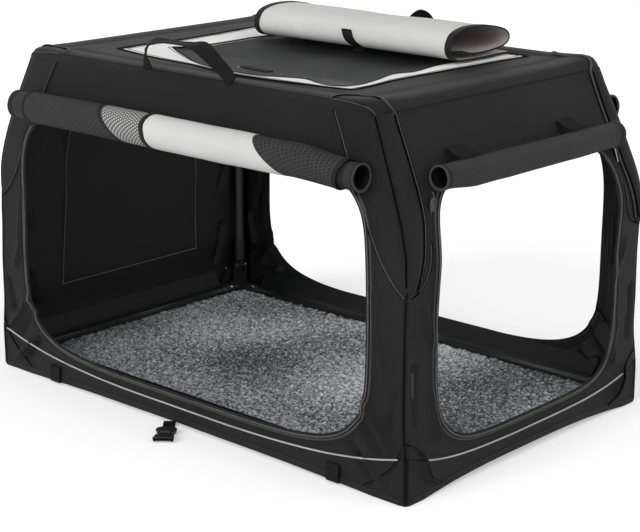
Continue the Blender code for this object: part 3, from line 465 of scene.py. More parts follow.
def halfSizes(height):
    shares = [between(crate["profile"], height + step) for step in crate["soften"]]
    share = sum(shares) / len(shares)
    return (
        crate["halfLength"] - crate["insetLength"] * share,
        crate["halfDepth"] - crate["insetDepth"] * share,
    )


def girth(side, height):
    # half the way along a side, from its middle to the corner ridge
    half = halfSizes(height)[0 if kinds[side] == "long" else 1]
    return half - between(crate["corners"], height) * (1 - math.pi / 4)


def shellPoint(side, reach, height, lift=0.0):
    # a point of the cloth body: reach runs along the side from its middle to the corner ridges
    along, out = sideWays[side]
    half, depth = halfSizes(height)[::1 if kinds[side] == "long" else -1]
    corner = between(crate["corners"], height)
    straight = half - corner
    way = math.copysign(1.0, reach)
    turn = min(max(abs(reach) - straight, 0.0) / corner, math.pi / 4)
    run = min(abs(reach), straight) + (corner + lift) * math.sin(turn)
    rise = depth - corner + (corner + lift) * math.cos(turn)
    point = along * (way * run) + out * rise + Vector((0, 0, height))
    if point.x < 0:
        slack, middle, spread = crate["slack"]
        near = (point.x / crate["halfLength"]) ** 2
        point.x += slack * near * math.exp(-(((height - middle) / spread) ** 2))
    return point


# waves of the cloth: how fine the slow and the quick ones are, their heights on walls and on the skirt
waves = {"slow": 6.3, "quick": 17.0, "share": 0.38, "wall": 0.0021, "skirt": 0.0016}


def wrinkle(point, amount=waves["wall"]):
    # slow waves and small puckers of hand-tight cloth
    slow = noise.noise(point * waves["slow"] + Vector((3.1, 0.7, 1.9)))
    quick = noise.noise(point * waves["quick"] + Vector((0.3, 5.2, 2.2)))
    return (slow + quick * waves["share"]) * amount


# pulled folds near the lower corners: distance from the ridge and height of both ends, width, rise
folds = {
    "away": 0.13, "top": 0.33, "fade": 0.012,
    "long": (
        ((0.07, 0.135), (0.026, 0.078), 0.0062, 0.0086), ((0.05, 0.225), (0.036, 0.19), 0.0072, 0.0049),
        ((0.074, 0.052), (0.04, 0.022), 0.0058, 0.0072), ((0.03, 0.11), (0.016, 0.16), 0.0056, -0.0049),
        ((0.1, 0.068), (0.066, 0.03), 0.0064, -0.0068), ((0.056, 0.3), (0.05, 0.24), 0.0064, 0.0049),
        ((0.088, 0.12), (0.05, 0.07), 0.0056, -0.0061),
    ),
    "end": (
        ((0.036, 0.06), (0.052, 0.026), 0.0058, 0.0076), ((0.042, 0.275), (0.06, 0.23), 0.0064, 0.0057),
        ((0.056, 0.15), (0.072, 0.085), 0.0062, 0.0062), ((0.022, 0.12), (0.018, 0.2), 0.0064, -0.0049),
    ),
}


def foldLift(side, reach, height):
    away = girth(side, height) - abs(reach)
    if away > folds["away"] or height > folds["top"]:
        return 0.0
    lift, spot = 0.0, Vector((away, height))
    for start, end, width, rise in folds[kinds[side]]:
        start, way = Vector(start), Vector(end) - Vector(start)
        share = (spot - start).dot(way) / way.length_squared
        near = (spot - start - way * min(max(share, 0.0), 1.0)).length
        lift += rise * math.exp(-((near / width) ** 2))
    return lift * min(1.0, away / folds["fade"])


def bulge(side, reach, height):
    if kinds[side] == "long":
        return 0.0
    width = between(crate["strip"], height)
    away = girth(side, height) - abs(reach)
    if width <= 0.001 or away >= width:
        return 0.0
    crown = math.sin(math.pi * min(max(away / width, 0.0), 1.0)) ** 0.8
    return crate["padding"] * crown * min(1.0, width / 0.02)


# the skirt's seam and hem: heights at mid side and at the corners, and how square their curves are
skirt = {
    "cornerSeam": 0.0725, "hemEnd": 0.9, "hemPower": 2.5,
    "long": {"seam": 0.032, "seamPower": 3.3, "hem": 0.006},
    "end": {"seam": 0.041, "seamPower": 3.6, "hem": 0.0125},
}


def seamHeight(side, part):
    values = skirt[kinds[side]]
    rise = skirt["cornerSeam"] - values["seam"]
    return values["seam"] + rise * min(abs(part), 1.0) ** values["seamPower"]


def hemHeight(side, part):
    return skirt[kinds[side]]["hem"] * (1 - min(1.0, abs(part) / skirt["hemEnd"]) ** skirt["hemPower"])


# mesh tools
def gridSheet(across, along, placeAt, cut=(1.0, 1.0), wraps=False, slotAt=0):
    # a grid moved to placeAt(u, v), both from 0 to 1; its UV map is the cloth's own cut in metres;
    # slotAt is the material number, or gives it for a face's u and v
    shape = bmesh.new()
    bmesh.ops.create_grid(shape, x_segments=across, y_segments=along, size=1.0)
    layer = shape.loops.layers.uv.new("cut")
    numberAt = slotAt if callable(slotAt) else lambda u, v: slotAt
    for face in shape.faces:
        middle = face.calc_center_median()
        face.smooth = True
        face.material_index = numberAt((middle.x + 1) / 2, (middle.y + 1) / 2)
        for loop in face.loops:
            spot = loop.vert.co
            loop[layer].uv = ((spot.x + 1) / 2 * cut[0], (spot.y + 1) / 2 * cut[1])
    for point in shape.verts:
        point.co = placeAt((point.co.x + 1) / 2, (point.co.y + 1) / 2)
    if wraps:
        bmesh.ops.remove_doubles(shape, verts=shape.verts, dist=0.00003)
    return shape


def faceOut(shape):
    bmesh.ops.recalc_face_normals(shape, faces=shape.faces)
    if shape.calc_volume(signed=True) < 0:
        bmesh.ops.reverse_faces(shape, faces=shape.faces)
    return shape


def turnFaces(shape, outwards):
    # an open sheet, turned the way for which outwards(face) adds up to more than nothing
    bmesh.ops.recalc_face_normals(shape, faces=shape.faces)
    if sum(outwards(face) for face in shape.faces) < 0:
        bmesh.ops.reverse_faces(shape, faces=shape.faces)
    return shape


def faceOutFrom(shape, middle=(0, 0, 0.25)):
    # an open sheet round the middle, turned so that its faces look away from there
    middle = Vector(middle)
    return turnFaces(shape, lambda face: face.normal.dot(face.calc_center_median() - middle))


def thicken(shape, thickness, innerSlot=None):
    # a second skin inside the first, joined to it round the edges
    shape.normal_update()
    lean = shape.verts.layers.float_vector.new("lean")
    for point in shape.verts:
        point[lean] = point.normal
    outer = shape.faces[:]
    made = bmesh.ops.extrude_face_region(shape, geom=outer, use_keep_orig=True)["geom"]
    for part in made:
        if isinstance(part, bmesh.types.BMVert):
            part.co -= part[lean] * thickness
    shape.verts.layers.float_vector.remove(lean)
    outer = set(outer)
    for face in shape.faces:
        face.smooth = True
        if innerSlot is not None and face not in outer:
            face.material_index = innerSlot
    return faceOut(shape)


def smoothPath(points, step, closed=False):
    # an even walk along a soft curve through the points
    points = [Vector(point) for point in points]
    if closed:
        ends = [points[-1], *points, points[0], points[1]]
    else:
        ends = [points[0] * 2 - points[1], *points, points[-1] * 2 - points[-2]]
    dense = []
    for before, start, end, after in zip(ends, ends[1:], ends[2:], ends[3:]):
        for i in range(16):
            t = i / 16
            bend = start * 2 + (end - before) * t + (before * 2 - start * 5 + end * 4 - after) * t**2
            dense.append((bend + (start * 3 - before - end * 3 + after) * t**3) / 2)
    dense.append(ends[-2])
    walked = [0.0]
    for a, b in zip(dense, dense[1:]):
        walked.append(walked[-1] + (b - a).length)
    count = max(2, round(walked[-1] / step))
    path, i = [], 0
    for k in range(count + 1):
        goal = walked[-1] * k / count
        while i < len(walked) - 2 and walked[i + 1] < goal:
            i += 1
        share = (goal - walked[i]) / max(walked[i + 1] - walked[i], 1e-9)
        path.append(dense[i].lerp(dense[i + 1], min(share, 1.0)))
    return path


def pathWays(path, closed=False):
    if closed:
        around = [path[-2], *path, path[1]]
        return [(c - a).normalized() for a, c in zip(around, around[2:])]
    steps = [(b - a).normalized() for a, b in zip(path, path[1:])]
    return [steps[0], *[(a + b).normalized() for a, b in zip(steps, steps[1:])], steps[-1]]


def cordAlong(
    points, radius, sides=6, step=0.008, closed=False, flat=1.0, guide=(0, 0, 1), slotNumber=0, coil=0.0
):
    # a round or flattened cord along a soft curve; flat is its height over its width, coil how far
    # every second ring stands in
    path = smoothPath(points, step, closed)
    ways = pathWays(path, closed)

    def placeAt(u, v):
        i = round(v * (len(path) - 1))
        across = ways[i].cross(Vector(guide)).normalized()
        up = across.cross(ways[i])
        turn = 2 * math.pi * u
        size = radius * (1 - coil * (i % 2))
        return path[i] + across * (math.cos(turn) * size) + up * (math.sin(turn) * size * flat)

    cut = (2 * math.pi * radius, step * len(path))
    shape = gridSheet(sides, len(path) - 1, placeAt, cut, True, slotNumber)
    if not closed:
        bmesh.ops.holes_fill(shape, edges=[edge for edge in shape.edges if edge.is_boundary], sides=0)
        for face in shape.faces:
            face.material_index = slotNumber
    return faceOut(shape)


def strapAlong(points, width, thickness, across=4, step=0.004):
    # webbing along a soft curve; width is a vector
    path = smoothPath(points, step)

    def placeAt(u, v):
        return path[round(v * (len(path) - 1))] + width * (u - 0.5)

    sheet = gridSheet(across, len(path) - 1, placeAt, (width.length, step * len(path)))
    return thicken(sheet, thickness)


def joinShapes(shapes):
    # one bmesh from several; they keep their material numbers
    joined = shapes[0]
    for other in shapes[1:]:
        holder = bpy.data.meshes.new("holder")
        other.to_mesh(holder)
        other.free()
        joined.from_mesh(holder)
        bpy.data.meshes.remove(holder)
    return joined


def makePiece(name, shape, looks, body=None, replaces=(), sharp=35.0):
    mesh = bpy.data.meshes.new(name)
    shape.to_mesh(mesh)
    shape.free()
    for look in looks:
        mesh.materials.append(finishes[look])
    mesh.set_sharp_from_angle(angle=math.radians(sharp))
    made = bpy.data.objects.new(name, mesh)
    scene.collection.objects.link(made)
    if replaces:
        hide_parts(*replaces)
    if body:
        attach(made, body)
    return made


def foldWithRoof(piece):
    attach(piece, "base")
    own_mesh(piece)


def cutAtFold(shape, keepAbove):
    bmesh.ops.bisect_plane(
        shape, geom=shape.verts[:] + shape.edges[:] + shape.faces[:], dist=0.00001,
        plane_co=(0, 0, crate["fold"]), plane_no=(0, 0, 1),
        clear_inner=keepAbove, clear_outer=not keepAbove,
    )
    return shape


# walls: doorways with bound edges and zips, corner seams and patches
doors = {
    "front": {"half": 0.377, "sill": 0.056, "head": 0.474, "count": 440},
    "back": {"half": 0.377, "sill": 0.056, "head": 0.474, "count": 440},
    "right": {"half": 0.2205, "sill": 0.066, "head": 0.452, "count": 320},
}
# distance from the doorway's edge, height of the relief, material number of the strip behind it
doorRings = (
    (0.0, 0.0, 1), (0.0004, 0.001, 1), (0.0016, 0.0017, 1), (0.0042, 0.0016, 1), (0.0058, 0.001, 1),
    (0.0062, 0.0001, 0), (0.0076, 0.0001, 2), (0.0082, 0.001, 2), (0.0094, 0.0014, 2),
    (0.0106, 0.001, 2), (0.0112, 0.0001, 0), (0.0128, 0.0002, 0), (0.0134, 0.001, 0),
    (0.0148, 0.0012, 0), (0.0156, 0.0009, 0), (0.0164, -0.0003, 0), (0.018, 0.0, 0),
)
# how far each ring lies from the doorway's edge to the wall's, and how deep the folds are at the door
blendRings = (0.05, 0.1, 0.16, 0.22, 0.29, 0.36, 0.43, 0.5, 0.57, 0.64, 0.71, 0.78, 0.85, 0.92, 1.0)
doorFade = 0.6


def squarePoint(share):
    # once round the edge of a square from -1 to 1
    leg, rest = int(share * 4) % 4, share * 4 % 1.0
    at = -1 + 2 * rest
    return ((at, -1.0), (1.0, at), (-at, 1.0), (-1.0, -at))[leg]


def doorPoint(door, a, b, away):
    # a point beside the doorway's edge, in the direction of a and b on the square
    power = 5.0
    pull = (abs(a) ** power + abs(b) ** power) ** (-1 / power)
    halfHeight = (door["head"] - door["sill"]) / 2
    a, b = a * pull, b * pull
    steepA = math.copysign(abs(a) ** (power - 1) / door["half"], a)
    steepB = math.copysign(abs(b) ** (power - 1) / halfHeight, b)
    length = math.hypot(steepA, steepB)
    reach = a * door["half"] + away * steepA / length
    return reach, (door["sill"] + door["head"]) / 2 + b * halfHeight + away * steepB / length


def wallSpot(side, reach, height, relief=0.0, fade=1.0):
    lift = bulge(side, reach, height) + foldLift(side, reach, height) * fade + relief
    base = shellPoint(side, reach, height)
    lift += wrinkle(base) * fade * min(1.0, max(0.0, crate["eaves"] - height) / 0.02)
    return shellPoint(side, reach, height, lift)


def wallEdge(side, part, up):
    # reach and height of a wall's spot, up being 0 at the skirt's seam and 1 just over the eaves
    low = seamHeight(side, part) + crate["seamGap"]
    height = low + (crate["eaves"] + crate["overEaves"] - low) * up
    return part * girth(side, height), height


def doorWall(side):
    door = doors[side]
    rings = len(doorRings) + len(blendRings)

    def placeAt(u, v):
        a, b = squarePoint(u % 1.0)
        ring = round(v * (rings - 1))
        if ring < len(doorRings):
            away, relief, _ = doorRings[ring]
            reach, height = doorPoint(door, a, b, away)
            return wallSpot(side, reach, height, relief, doorFade)
        share = blendRings[ring - len(doorRings)]
        reach, height = doorPoint(door, a, b, doorRings[-1][0])
        outerReach, outerHeight = wallEdge(side, a, (b + 1) / 2)
        height += (outerHeight - height) * share
        reach += (outerReach - reach) * share
        return wallSpot(side, reach, height, 0.0, 1.0 if share < 1 else 0.5)

    def slotAt(u, v):
        ring = int(v * (rings - 1))
        return doorRings[ring][2] if ring < len(doorRings) else 0

    return gridSheet(door["count"], rings - 1, placeAt, (2.4, 0.1), True, slotAt)


def plainWall(side):
    def placeAt(u, v):
        return wallSpot(side, *wallEdge(side, u * 2 - 1, v))

    return gridSheet(110, 96, placeAt, (0.56, 0.5))


def seamOn(side, spots, radius, slotNumber=0, flat=0.6, step=0.007, lift=0.0004):
    # a raised line on a wall through (reach, height) spots
    points = []
    for a, b in zip(spots, spots[1:]):
        for i in range(4):
            reach, height = (a[k] + (b[k] - a[k]) * i / 4 for k in (0, 1))
            points.append(wallSpot(side, reach, height, lift))
    points.append(wallSpot(side, *spots[-1], lift))
    return cordAlong(points, radius, 6, step, False, flat, sideWays[side][1], slotNumber)


# corner seams and patches on a long side and on an end: arms as reach and height, the lines below
# them as distance from the ridge and height; ridge and lip lines as heights
patchSeams = {
    "long": {
        "arm": ((0.303, 0.543), (0.318, 0.515), (0.333, 0.484), (0.36, 0.432), (0.387, 0.381),
                (0.405, 0.348), (0.425, 0.322), (0.441, 0.307), (0.4505, 0.3015)),
        "gusset": ((0.0005, 0.092), (0.004, 0.085), (0.008, 0.078), (0.0105, 0.0735)),
        "skirt": ((0.0105, 0.0728), (0.012, 0.069), (0.02, 0.055), (0.039, 0.038), (0.057, 0.024),
                  (0.074, 0.013)),
    },
    "end": {
        "arm": ((0.24, 0.372), (0.2425, 0.352), (0.247, 0.335), (0.255, 0.32), (0.265, 0.309),
                (0.286, 0.3015)),
        "gusset": ((0.0005, 0.092), (0.008, 0.089), (0.016, 0.084), (0.0235, 0.079), (0.029, 0.0735)),
        "skirt": ((0.029, 0.0728), (0.0325, 0.069), (0.0395, 0.061), (0.0405, 0.053), (0.0535, 0.029),
                  (0.0765, 0.014)),
    },
    # lines along the ridge: distance from it, heights, radius, material number
    "ridges": (
        (0.0012, (0.543, 0.5, 0.45, 0.4, 0.36, 0.32), 0.0012, 8),
        (0.0002, (0.312, 0.25, 0.2, 0.15, 0.11, 0.0738), 0.001, 8),
        (0.004, (0.3, 0.25, 0.2, 0.15, 0.11, 0.0738), 0.0012, 1),
    ),
    "skirtRidge": tuple((0.0002, height) for height in (0.0738, 0.06, 0.04, 0.02, 0.004)),
    # cords beside each other: shift, radius, material number
    "stripCords": ((0.0, 0.0023, 3), (0.0041, 0.0017, 8), (-0.0034, 0.001, 8)),
    "armCords": ((0.0, 0.0012, 3), (0.0024, 0.0014, 8), (0.0046, 0.001, 1)),
    "gussetCords": ((0.0, 0.0012, 1), (0.002, 0.0012, 8)),
    "skirtCords": ((0.0, 0.0012, 3), (0.0022, 0.0012, 5)),
}


def cornerLines(side):
    shapes = []
    seams = patchSeams[kinds[side]]
    for way in (-1, 1):
        if kinds[side] == "long":
            for away, heights, radius, number in patchSeams["ridges"]:
                ridge = [(way * (girth(side, height) - away), height) for height in heights]
                shapes.append(seamOn(side, ridge, radius, number, 0.9))
        else:
            for aside, radius, number in patchSeams["stripCords"]:
                edge = [
                    (way * (girth(side, height) - width + aside), height)
                    for height, width in (*crate["strip"][1:-1], (0.543, 0.0345))
                ]
                shapes.append(seamOn(side, edge, radius, number, 0.75, 0.007, 0.0008))
        for aside, radius, number in patchSeams["armCords"]:
            line = [(way * (reach - aside), height + aside * 0.35) for reach, height in seams["arm"]]
            shapes.append(seamOn(side, line, radius, number, 0.8))
        for aside, radius, number in patchSeams["gussetCords"]:
            line = [
                (way * (girth(side, height) - away - aside), height) for away, height in seams["gusset"]
            ]
            shapes.append(seamOn(side, line, radius, number, 0.8))
    return shapes


def skirtLines():
    # the ridge seams and the gussets' slanting seams, carried on down the skirt
    shapes = []
    for side in sideOrder:
        kind = kinds[side]
        lines = [(patchSeams[kind]["skirt"], *cord) for cord in patchSeams["skirtCords"]]
        lines.append((patchSeams["skirtRidge"], 0.004, 0.0012, 3))
        if kind == "long":
            lines.append((patchSeams["skirtRidge"], 0.0, 0.001, 5))
        for way in (-1, 1):
            for spots, aside, radius, number in lines:
                points = []
                for away, height in spots:
                    part = way * (1 - (away + aside) / girth(side, height))
                    points.append(skirtPoint(side, part, height, 0.0009))
                guide = sideWays[side][1]
                shapes.append(cordAlong(points, radius, 6, 0.006, False, 0.9, guide, number))
    return shapes


# the zip round a doorway and the row of stitches outside it: distance from the doorway's edge, points
zips = {
    "coil": {
        "away": 0.005, "count": 140, "lift": 0.0019, "radius": 0.0016, "pitch": 0.0016, "depth": 0.6,
    },
    "stitch": {"away": 0.0172, "count": 120, "lift": 0.0002, "radius": 0.0005, "pitch": 0.0045},
}


def roundDoor(side, values):
    # (reach, height) spots once round the doorway
    door, away, count = doors[side], values["away"], values["count"]
    return [doorPoint(door, *squarePoint((i + 0.5) / count), away) for i in range(count)]


def doorStitches(side):
    values = zips["stitch"]
    spots = [Vector((reach, height, 0)) for reach, height in roundDoor(side, values)]
    walk = smoothPath(spots, values["pitch"], True)
    shapes = []
    for pair in zip(walk[::2], walk[1::2]):
        ends = [wallSpot(side, spot.x, spot.y, values["lift"], doorFade) for spot in pair]
        shapes.append(cordAlong(ends, values["radius"], 4, 0.004, False, 1.0, sideWays[side][1], 4))
    return shapes


def zipCoil(side):
    values = zips["coil"]
    points = [wallSpot(side, *spot, values["lift"], doorFade) for spot in roundDoor(side, values)]
    guide = sideWays[side][1]
    return cordAlong(points, values["radius"], 6, values["pitch"], True, 0.9, guide, 7, values["depth"])


pocket = {"half": 0.162, "low": 0.118, "high": 0.425, "slant": 0.86, "thread": 0.0008, "behind": 0.0009}


def leftPocketLines():
    # the inside shows the stitched outline of the pocket that sits on the outer face
    corners = ((-1, "low"), (1, "low"), (pocket["slant"], "high"), (-1, "high"), (-1, "low"))
    spots = [(way * pocket["half"], pocket[level]) for way, level in corners]
    thread, lift = pocket["thread"], -crate["cloth"] - pocket["behind"]
    return [seamOn("left", pair, thread, 5, 0.9, 0.01, lift) for pair in zip(spots, spots[1:])]


# what the material numbers of a wall stand for, from 0 to 8: 3 is a painted highlight on raised seams,
# 6 the inner face darkened as painted shade, 7 a zip coil with painted glints and 8 near-black painted
# shade in grooves
wallLooks = [
    "blackCloth", "bindingTape", "blackThread", "seamRidge", "blackThread", "greyThread", "innerCloth",
    "zipTeeth", "seamShadow",
]


def halfWall(side, above):
    sheet = cutAtFold(plainWall(side) if side == "left" else doorWall(side), above)
    turnFaces(sheet, lambda face: face.normal.dot(sideWays[side][1]))
    shapes = [thicken(sheet, crate["cloth"], 6)]
    if side != "left":
        shapes.append(cutAtFold(zipCoil(side), above))
    if above:
        shapes += cornerLines(side)
        if side == "left":
            shapes += leftPocketLines()
        else:
            shapes += [cutAtFold(line, True) for line in doorStitches(side)]
    return joinShapes(shapes)


def makeWall(side):
    slotName, node = "black_polyester", side + "_wall"
    upper = makePiece(side + "WallUpper", halfWall(side, True), wallLooks, None, [node])
    foldWithRoof(upper)
    lower = makePiece(side + "WallLower", halfWall(side, False), wallLooks, "base", [node])


for side in ("front", "back", "right", "left"):
    makeWall(side)
print("walls hung")

# floor tray with its skirt: hem is how far the turned-up hem reaches, climb how far in the floor
# rises to the hem
tray = {
    "sheet": 0.0012, "hem": 0.011, "hemStep": 0.0009, "rise": 0.0012, "halfX": 0.4545, "halfY": 0.292,
    "climb": 0.014, "corner": 0.021, "count": 90, "tape": 0.011, "thin": 0.0008,
    # the flaps over the base tubes: half their length, then distance from the middle and height
    "long": (0.384, ((0.2898, 0.058), (0.2835, 0.0475), (0.2768, 0.039), (0.2695, 0.0325),
                     (0.2625, 0.0302), (0.2587, 0.024), (0.2581, 0.014), (0.2577, 0.006),
                     (0.2568, 0.0026))),
    "end": (0.218, ((0.4523, 0.061), (0.4478, 0.051), (0.4436, 0.0395), (0.4368, 0.0328),
                    (0.4305, 0.0302), (0.4267, 0.024), (0.4261, 0.014), (0.4257, 0.006),
                    (0.4246, 0.0026))),
    # hem stitches: pitch, distance below the hem's edge, radius
    "stitch": (0.006, 0.0025, 0.0004),
}


def skirtPoint(side, part, height, lift=0.0):
    reach = part * girth(side, height)
    waved = wrinkle(shellPoint(side, reach, height), waves["skirt"])
    return shellPoint(side, reach, height, lift + waved + foldLift(side, reach, height))


def roundSkirt(u):
    # side and part of it, once round from the front left corner
    leg = min(int(u * 4), 3)
    return sideOrder[leg], (u * 4 - leg) * 2 - 1


def innerTape():
    # a dark tape behind the piping, all round the inside
    def placeAt(u, v):
        side, part = roundSkirt(u)
        return skirtPoint(side, part, seamHeight(side, part) + (v - 0.5) * tray["tape"], -0.002)

    return thicken(faceOutFrom(gridSheet(240, 3, placeAt, (2.9, tray["tape"]), True, 3)), tray["thin"])


def tubeFlap(side):
    # the cloth that lies over a base tube, from the wall to the floor beside the mat
    half, spots = tray[kinds[side]]
    along, out = sideWays[side]
    path = smoothPath([Vector((0, *spot)) for spot in spots], 0.0028)

    def placeAt(u, v):
        spot = path[round(v * (len(path) - 1))]
        reach = (u * 2 - 1) * half
        sway = noise.noise(Vector((reach * 9.0, spot.z * 30.0, 1.0))) * 0.0007
        return along * reach + out * (spot.y + sway) + Vector((0, 0, spot.z + abs(sway) * 0.5))

    sheet = gridSheet(110, len(path) - 1, placeAt, (half * 2, 0.07), False, 1)
    return thicken(turnFaces(sheet, lambda face: face.normal.z - face.normal.dot(out)), tray["thin"])


def skirtSheet():
    def placeAt(u, v):
        side, part = roundSkirt(u)
        hem, seam = hemHeight(side, part), seamHeight(side, part) - crate["seamGap"]
        height = seam if v > 0.999 else hem + (seam - hem) * v
        # the turned-up hem is a small step
        turned = v <= 0.999 and height - hem < tray["hem"]
        lift = tray["hemStep"] if turned else 0.0
        return skirtPoint(side, part, height if v > 0.999 else max(height, 0.0006), lift)

    sheet = gridSheet(4 * tray["count"], 24, placeAt, (2.9, 0.06), True)
    return thicken(faceOutFrom(sheet), crate["cloth"], 1)


def floorSheet():
    # the floor lies flat and climbs to the lifted hem at its edges
    halfX, halfY = tray["halfX"], tray["halfY"]

    def placeAt(u, v):
        x, y = (u * 2 - 1) * halfX, (v * 2 - 1) * halfY
        climb = 0.0
        for side, near, across in (("right", halfX - abs(x), v), ("front", halfY - abs(y), u)):
            climb = max(climb, hemHeight(side, across * 2 - 1) * max(0.0, 1 - near / tray["climb"]))
        point = Vector((*roundedRect(x, y, halfX, halfY, tray["corner"]), tray["rise"] + climb))
        return point + Vector((0, 0, (noise.noise(point * 8.0) + 1) * 0.0003))

    return thicken(gridSheet(60, 40, placeAt, (0.91, 0.585), False, 1), tray["sheet"] * 0.5)


def hemStitches(side):
    pitch, below, radius = tray["stitch"]
    count = round(girth(side, 0.012) / pitch)
    up, guide = tray["hem"] - below, sideWays[side][1]
    stitches = []
    for i in range(-count + 2, count - 2):
        parts = [(i + 0.15) / count, (i + 0.85) / count]
        ends = [skirtPoint(side, part, hemHeight(side, part) + up, 0.0011) for part in parts]
        stitches.append(cordAlong(ends, radius, 4, 0.004, False, 1.0, guide, 2))
    return stitches


def makeTray():
    shapes = [skirtSheet(), floorSheet(), innerTape(), *skirtLines()]
    shapes += [tubeFlap(side) for side in sideOrder]
    for side in sideOrder:
        shapes += hemStitches(side)
    # the floor, the flaps and the skirt's inner face take the inner cloth, darkened as painted shade
    looks = ["blackCloth", "innerCloth", "blackThread", "bindingTape", "seamRidge", "seamShadow"]
    made = makePiece("floorTray", joinShapes(shapes), looks, "base", ["floor_tray"])


def roundedRect(x, y, halfX, halfY, radius):
    # a point of a rectangle pulled in where the corner is round
    beyondX, beyondY = abs(x) - (halfX - radius), abs(y) - (halfY - radius)
    if beyondX <= 0 or beyondY <= 0:
        return x, y
    far = math.hypot(beyondX, beyondY)
    limit = radius * min(1.0, max(beyondX, beyondY) / radius)
    share = limit / far
    return (
        math.copysign(halfX - radius + beyondX * share, x),
        math.copysign(halfY - radius + beyondY * share, y),
    )


makeTray()

# reflective piping round the skirt: its cords end short of the corner ridges
piping = {"radius": 0.0014, "step": 0.006, "lift": 0.0012, "long": 0.012, "end": 0.0395, "count": 36}


def makePiping():
    cords = []
    for side in sideOrder:
        most = 1 - piping[kinds[side]] / girth(side, crate["fold"])
        points = []
        for i in range(piping["count"] + 1):
            part = most * (2 * i / piping["count"] - 1)
            height = seamHeight(side, part)
            reach = part * girth(side, height)
            waved = wrinkle(shellPoint(side, reach, height), waves["skirt"])
            points.append(shellPoint(side, reach, height, piping["lift"] + waved))
        cords.append(cordAlong(points, piping["radius"], 8, piping["step"]))
    makePiece("seamPiping", joinShapes(cords), ["piping"], "base", ["seam_piping"])


makePiping()
print("tray and piping sewn")

# roof: panel with its corner caps, window border and net
roof = {
    "face": 0.5604, "tape": {"away": 0.0055, "radius": 0.0046, "flat": 0.22},
    # waves: how fine they are and their height
    "border": {
        "height": 0.56, "crown": 0.0009, "wave": (25.0, 0.0005), "droop": 0.001, "thickness": 0.0011,
    },
    "net": {
        "height": 0.5584, "sag": 0.0085, "waves": ((8.0, 0.0034), (21.0, 0.0011)), "overlap": 1.008,
        "middle": (0.01, 0.0, 0.0), "thickness": 0.0007,
    },
    "sag": {"deep": 0.0032, "to": (0.345, 0.247), "wave": 0.001},
    "valley": {"at": (0.331, 0.231), "wide": 0.01, "deep": 0.0032},
    "hump": {"at": (0.35, 0.25), "reach": 0.08, "rise": 0.0045, "leftRise": 0.0012},
    "rim": ((0.0, 0.553), (0.0024, 0.5566), (0.006, 0.5588), (0.011, 0.56), (0.017, 0.5604),
            (0.025, 0.5602)),
    # the panel's seam runs along the rim on the long sides and lower, at the eaves, on the ends: start
    # and end as shares round the roof, row of the panel, radius
    "seams": ((0.015, 0.225, 3.6, 0.001), (0.255, 0.495, 0.2, 0.0008), (0.515, 0.735, 3.6, 0.001),
              (0.755, 0.995, 0.2, 0.0008)),
    # rows of the panel up to the rim: at which level, what its half sizes get, height
    "rows": (
        ("eaves", 0.0003, 0.0003, 0.5455), ("eaves", 0.0, 0.0, 0.5475), ("top", 0.003, 0.0008, 0.553),
        ("top", 0.0006, -0.0008, 0.5566), ("top", -0.003, -0.0042, 0.5588),
        ("top", -0.008, -0.009, 0.56), ("top", -0.014, -0.015, 0.5604),
        ("top", -0.022, -0.023, 0.5602),
    ),
    # lines on the border: share of its width, material number, radius
    "borderLines": ((0.1, 1, 0.0005), (0.9, 1, 0.0005), (0.985, 2, 0.0013)),
    # the window's edges in four runs from its front left corner
    "outer": (
        ((-0.262, -0.168), (-0.16, -0.186), (-0.05, -0.2), (0.04, -0.212), (0.15, -0.211),
         (0.267, -0.2)),
        ((0.267, -0.2), (0.262, -0.15), (0.254, -0.09), (0.256, 0.03), (0.262, 0.12), (0.27, 0.2)),
        ((0.27, 0.2), (0.25, 0.21), (0.0, 0.212), (-0.25, 0.21)),
        ((-0.25, 0.21), (-0.268, 0.15), (-0.262, 0.0), (-0.265, -0.1), (-0.262, -0.168)),
    ),
    "inner": (
        ((-0.217, -0.096), (-0.17, -0.125), (-0.054, -0.188), (0.02, -0.196), (0.075, -0.196),
         (0.116, -0.182), (0.15, -0.17), (0.187, -0.182), (0.217, -0.191), (0.238, -0.178)),
        ((0.238, -0.178), (0.241, -0.146), (0.231, -0.096), (0.217, -0.052), (0.227, -0.006),
         (0.215, 0.053), (0.214, 0.083), (0.215, 0.15), (0.2, 0.178)),
        ((0.2, 0.178), (0.0, 0.178), (-0.17, 0.178), (-0.189, 0.15)),
        ((-0.189, 0.15), (-0.189, 0.085), (-0.192, -0.059), (-0.217, -0.096)),
    ),
}
# the crescent caps' seams: over the roof as x and y, down its end as points, then the lower line as
# shares round the roof and rows of the panel
capSeam = {
    "over": ((0.2915, -0.2705), (0.2905, -0.264), (0.293, -0.2545), (0.2985, -0.2475), (0.308, -0.243),
             (0.32, -0.241), (0.335, -0.2405), (0.35, -0.243), (0.362, -0.2455), (0.3705, -0.245)),
    "down": ((0.3757, -0.2425, 0.554), (0.3778, -0.2385, 0.549), (0.3784, -0.2358, 0.543),
             (0.3792, -0.2345, 0.537)),
    "lower": ((0.2249, 3.5), (0.23, 3.3), (0.2352, 3.0), (0.2415, 2.6), (0.2455, 2.1), (0.2482, 1.2),
              (0.2499, 0.0)),
    # where the groove lies beside the upper line in x, y and height, and beside the lower line in share
    # and row; radius and material number of both lines with their grooves
    "lift": 0.0006, "groove": (0.0028, -0.003, 0.0003), "lowerGroove": (-0.0012, 0.35),
    "cords": ((0.0021, 1), (0.0016, 4), (0.0013, 1), (0.0012, 4)),
}
windowEdges = {
    which: [smoothPath([(x, y, 0.0) for x, y in run], 0.006) for run in roof[which]]
    for which in ("outer", "inner")
}


def edgeAt(which, share):
    # a point of a window edge, once round from the front left corner
    path = windowEdges[which][int(share * 4) % 4]
    place = share * 4 % 1.0 * (len(path) - 1)
    i = min(int(place), len(path) - 2)
    return path[i].lerp(path[i + 1], place - i)


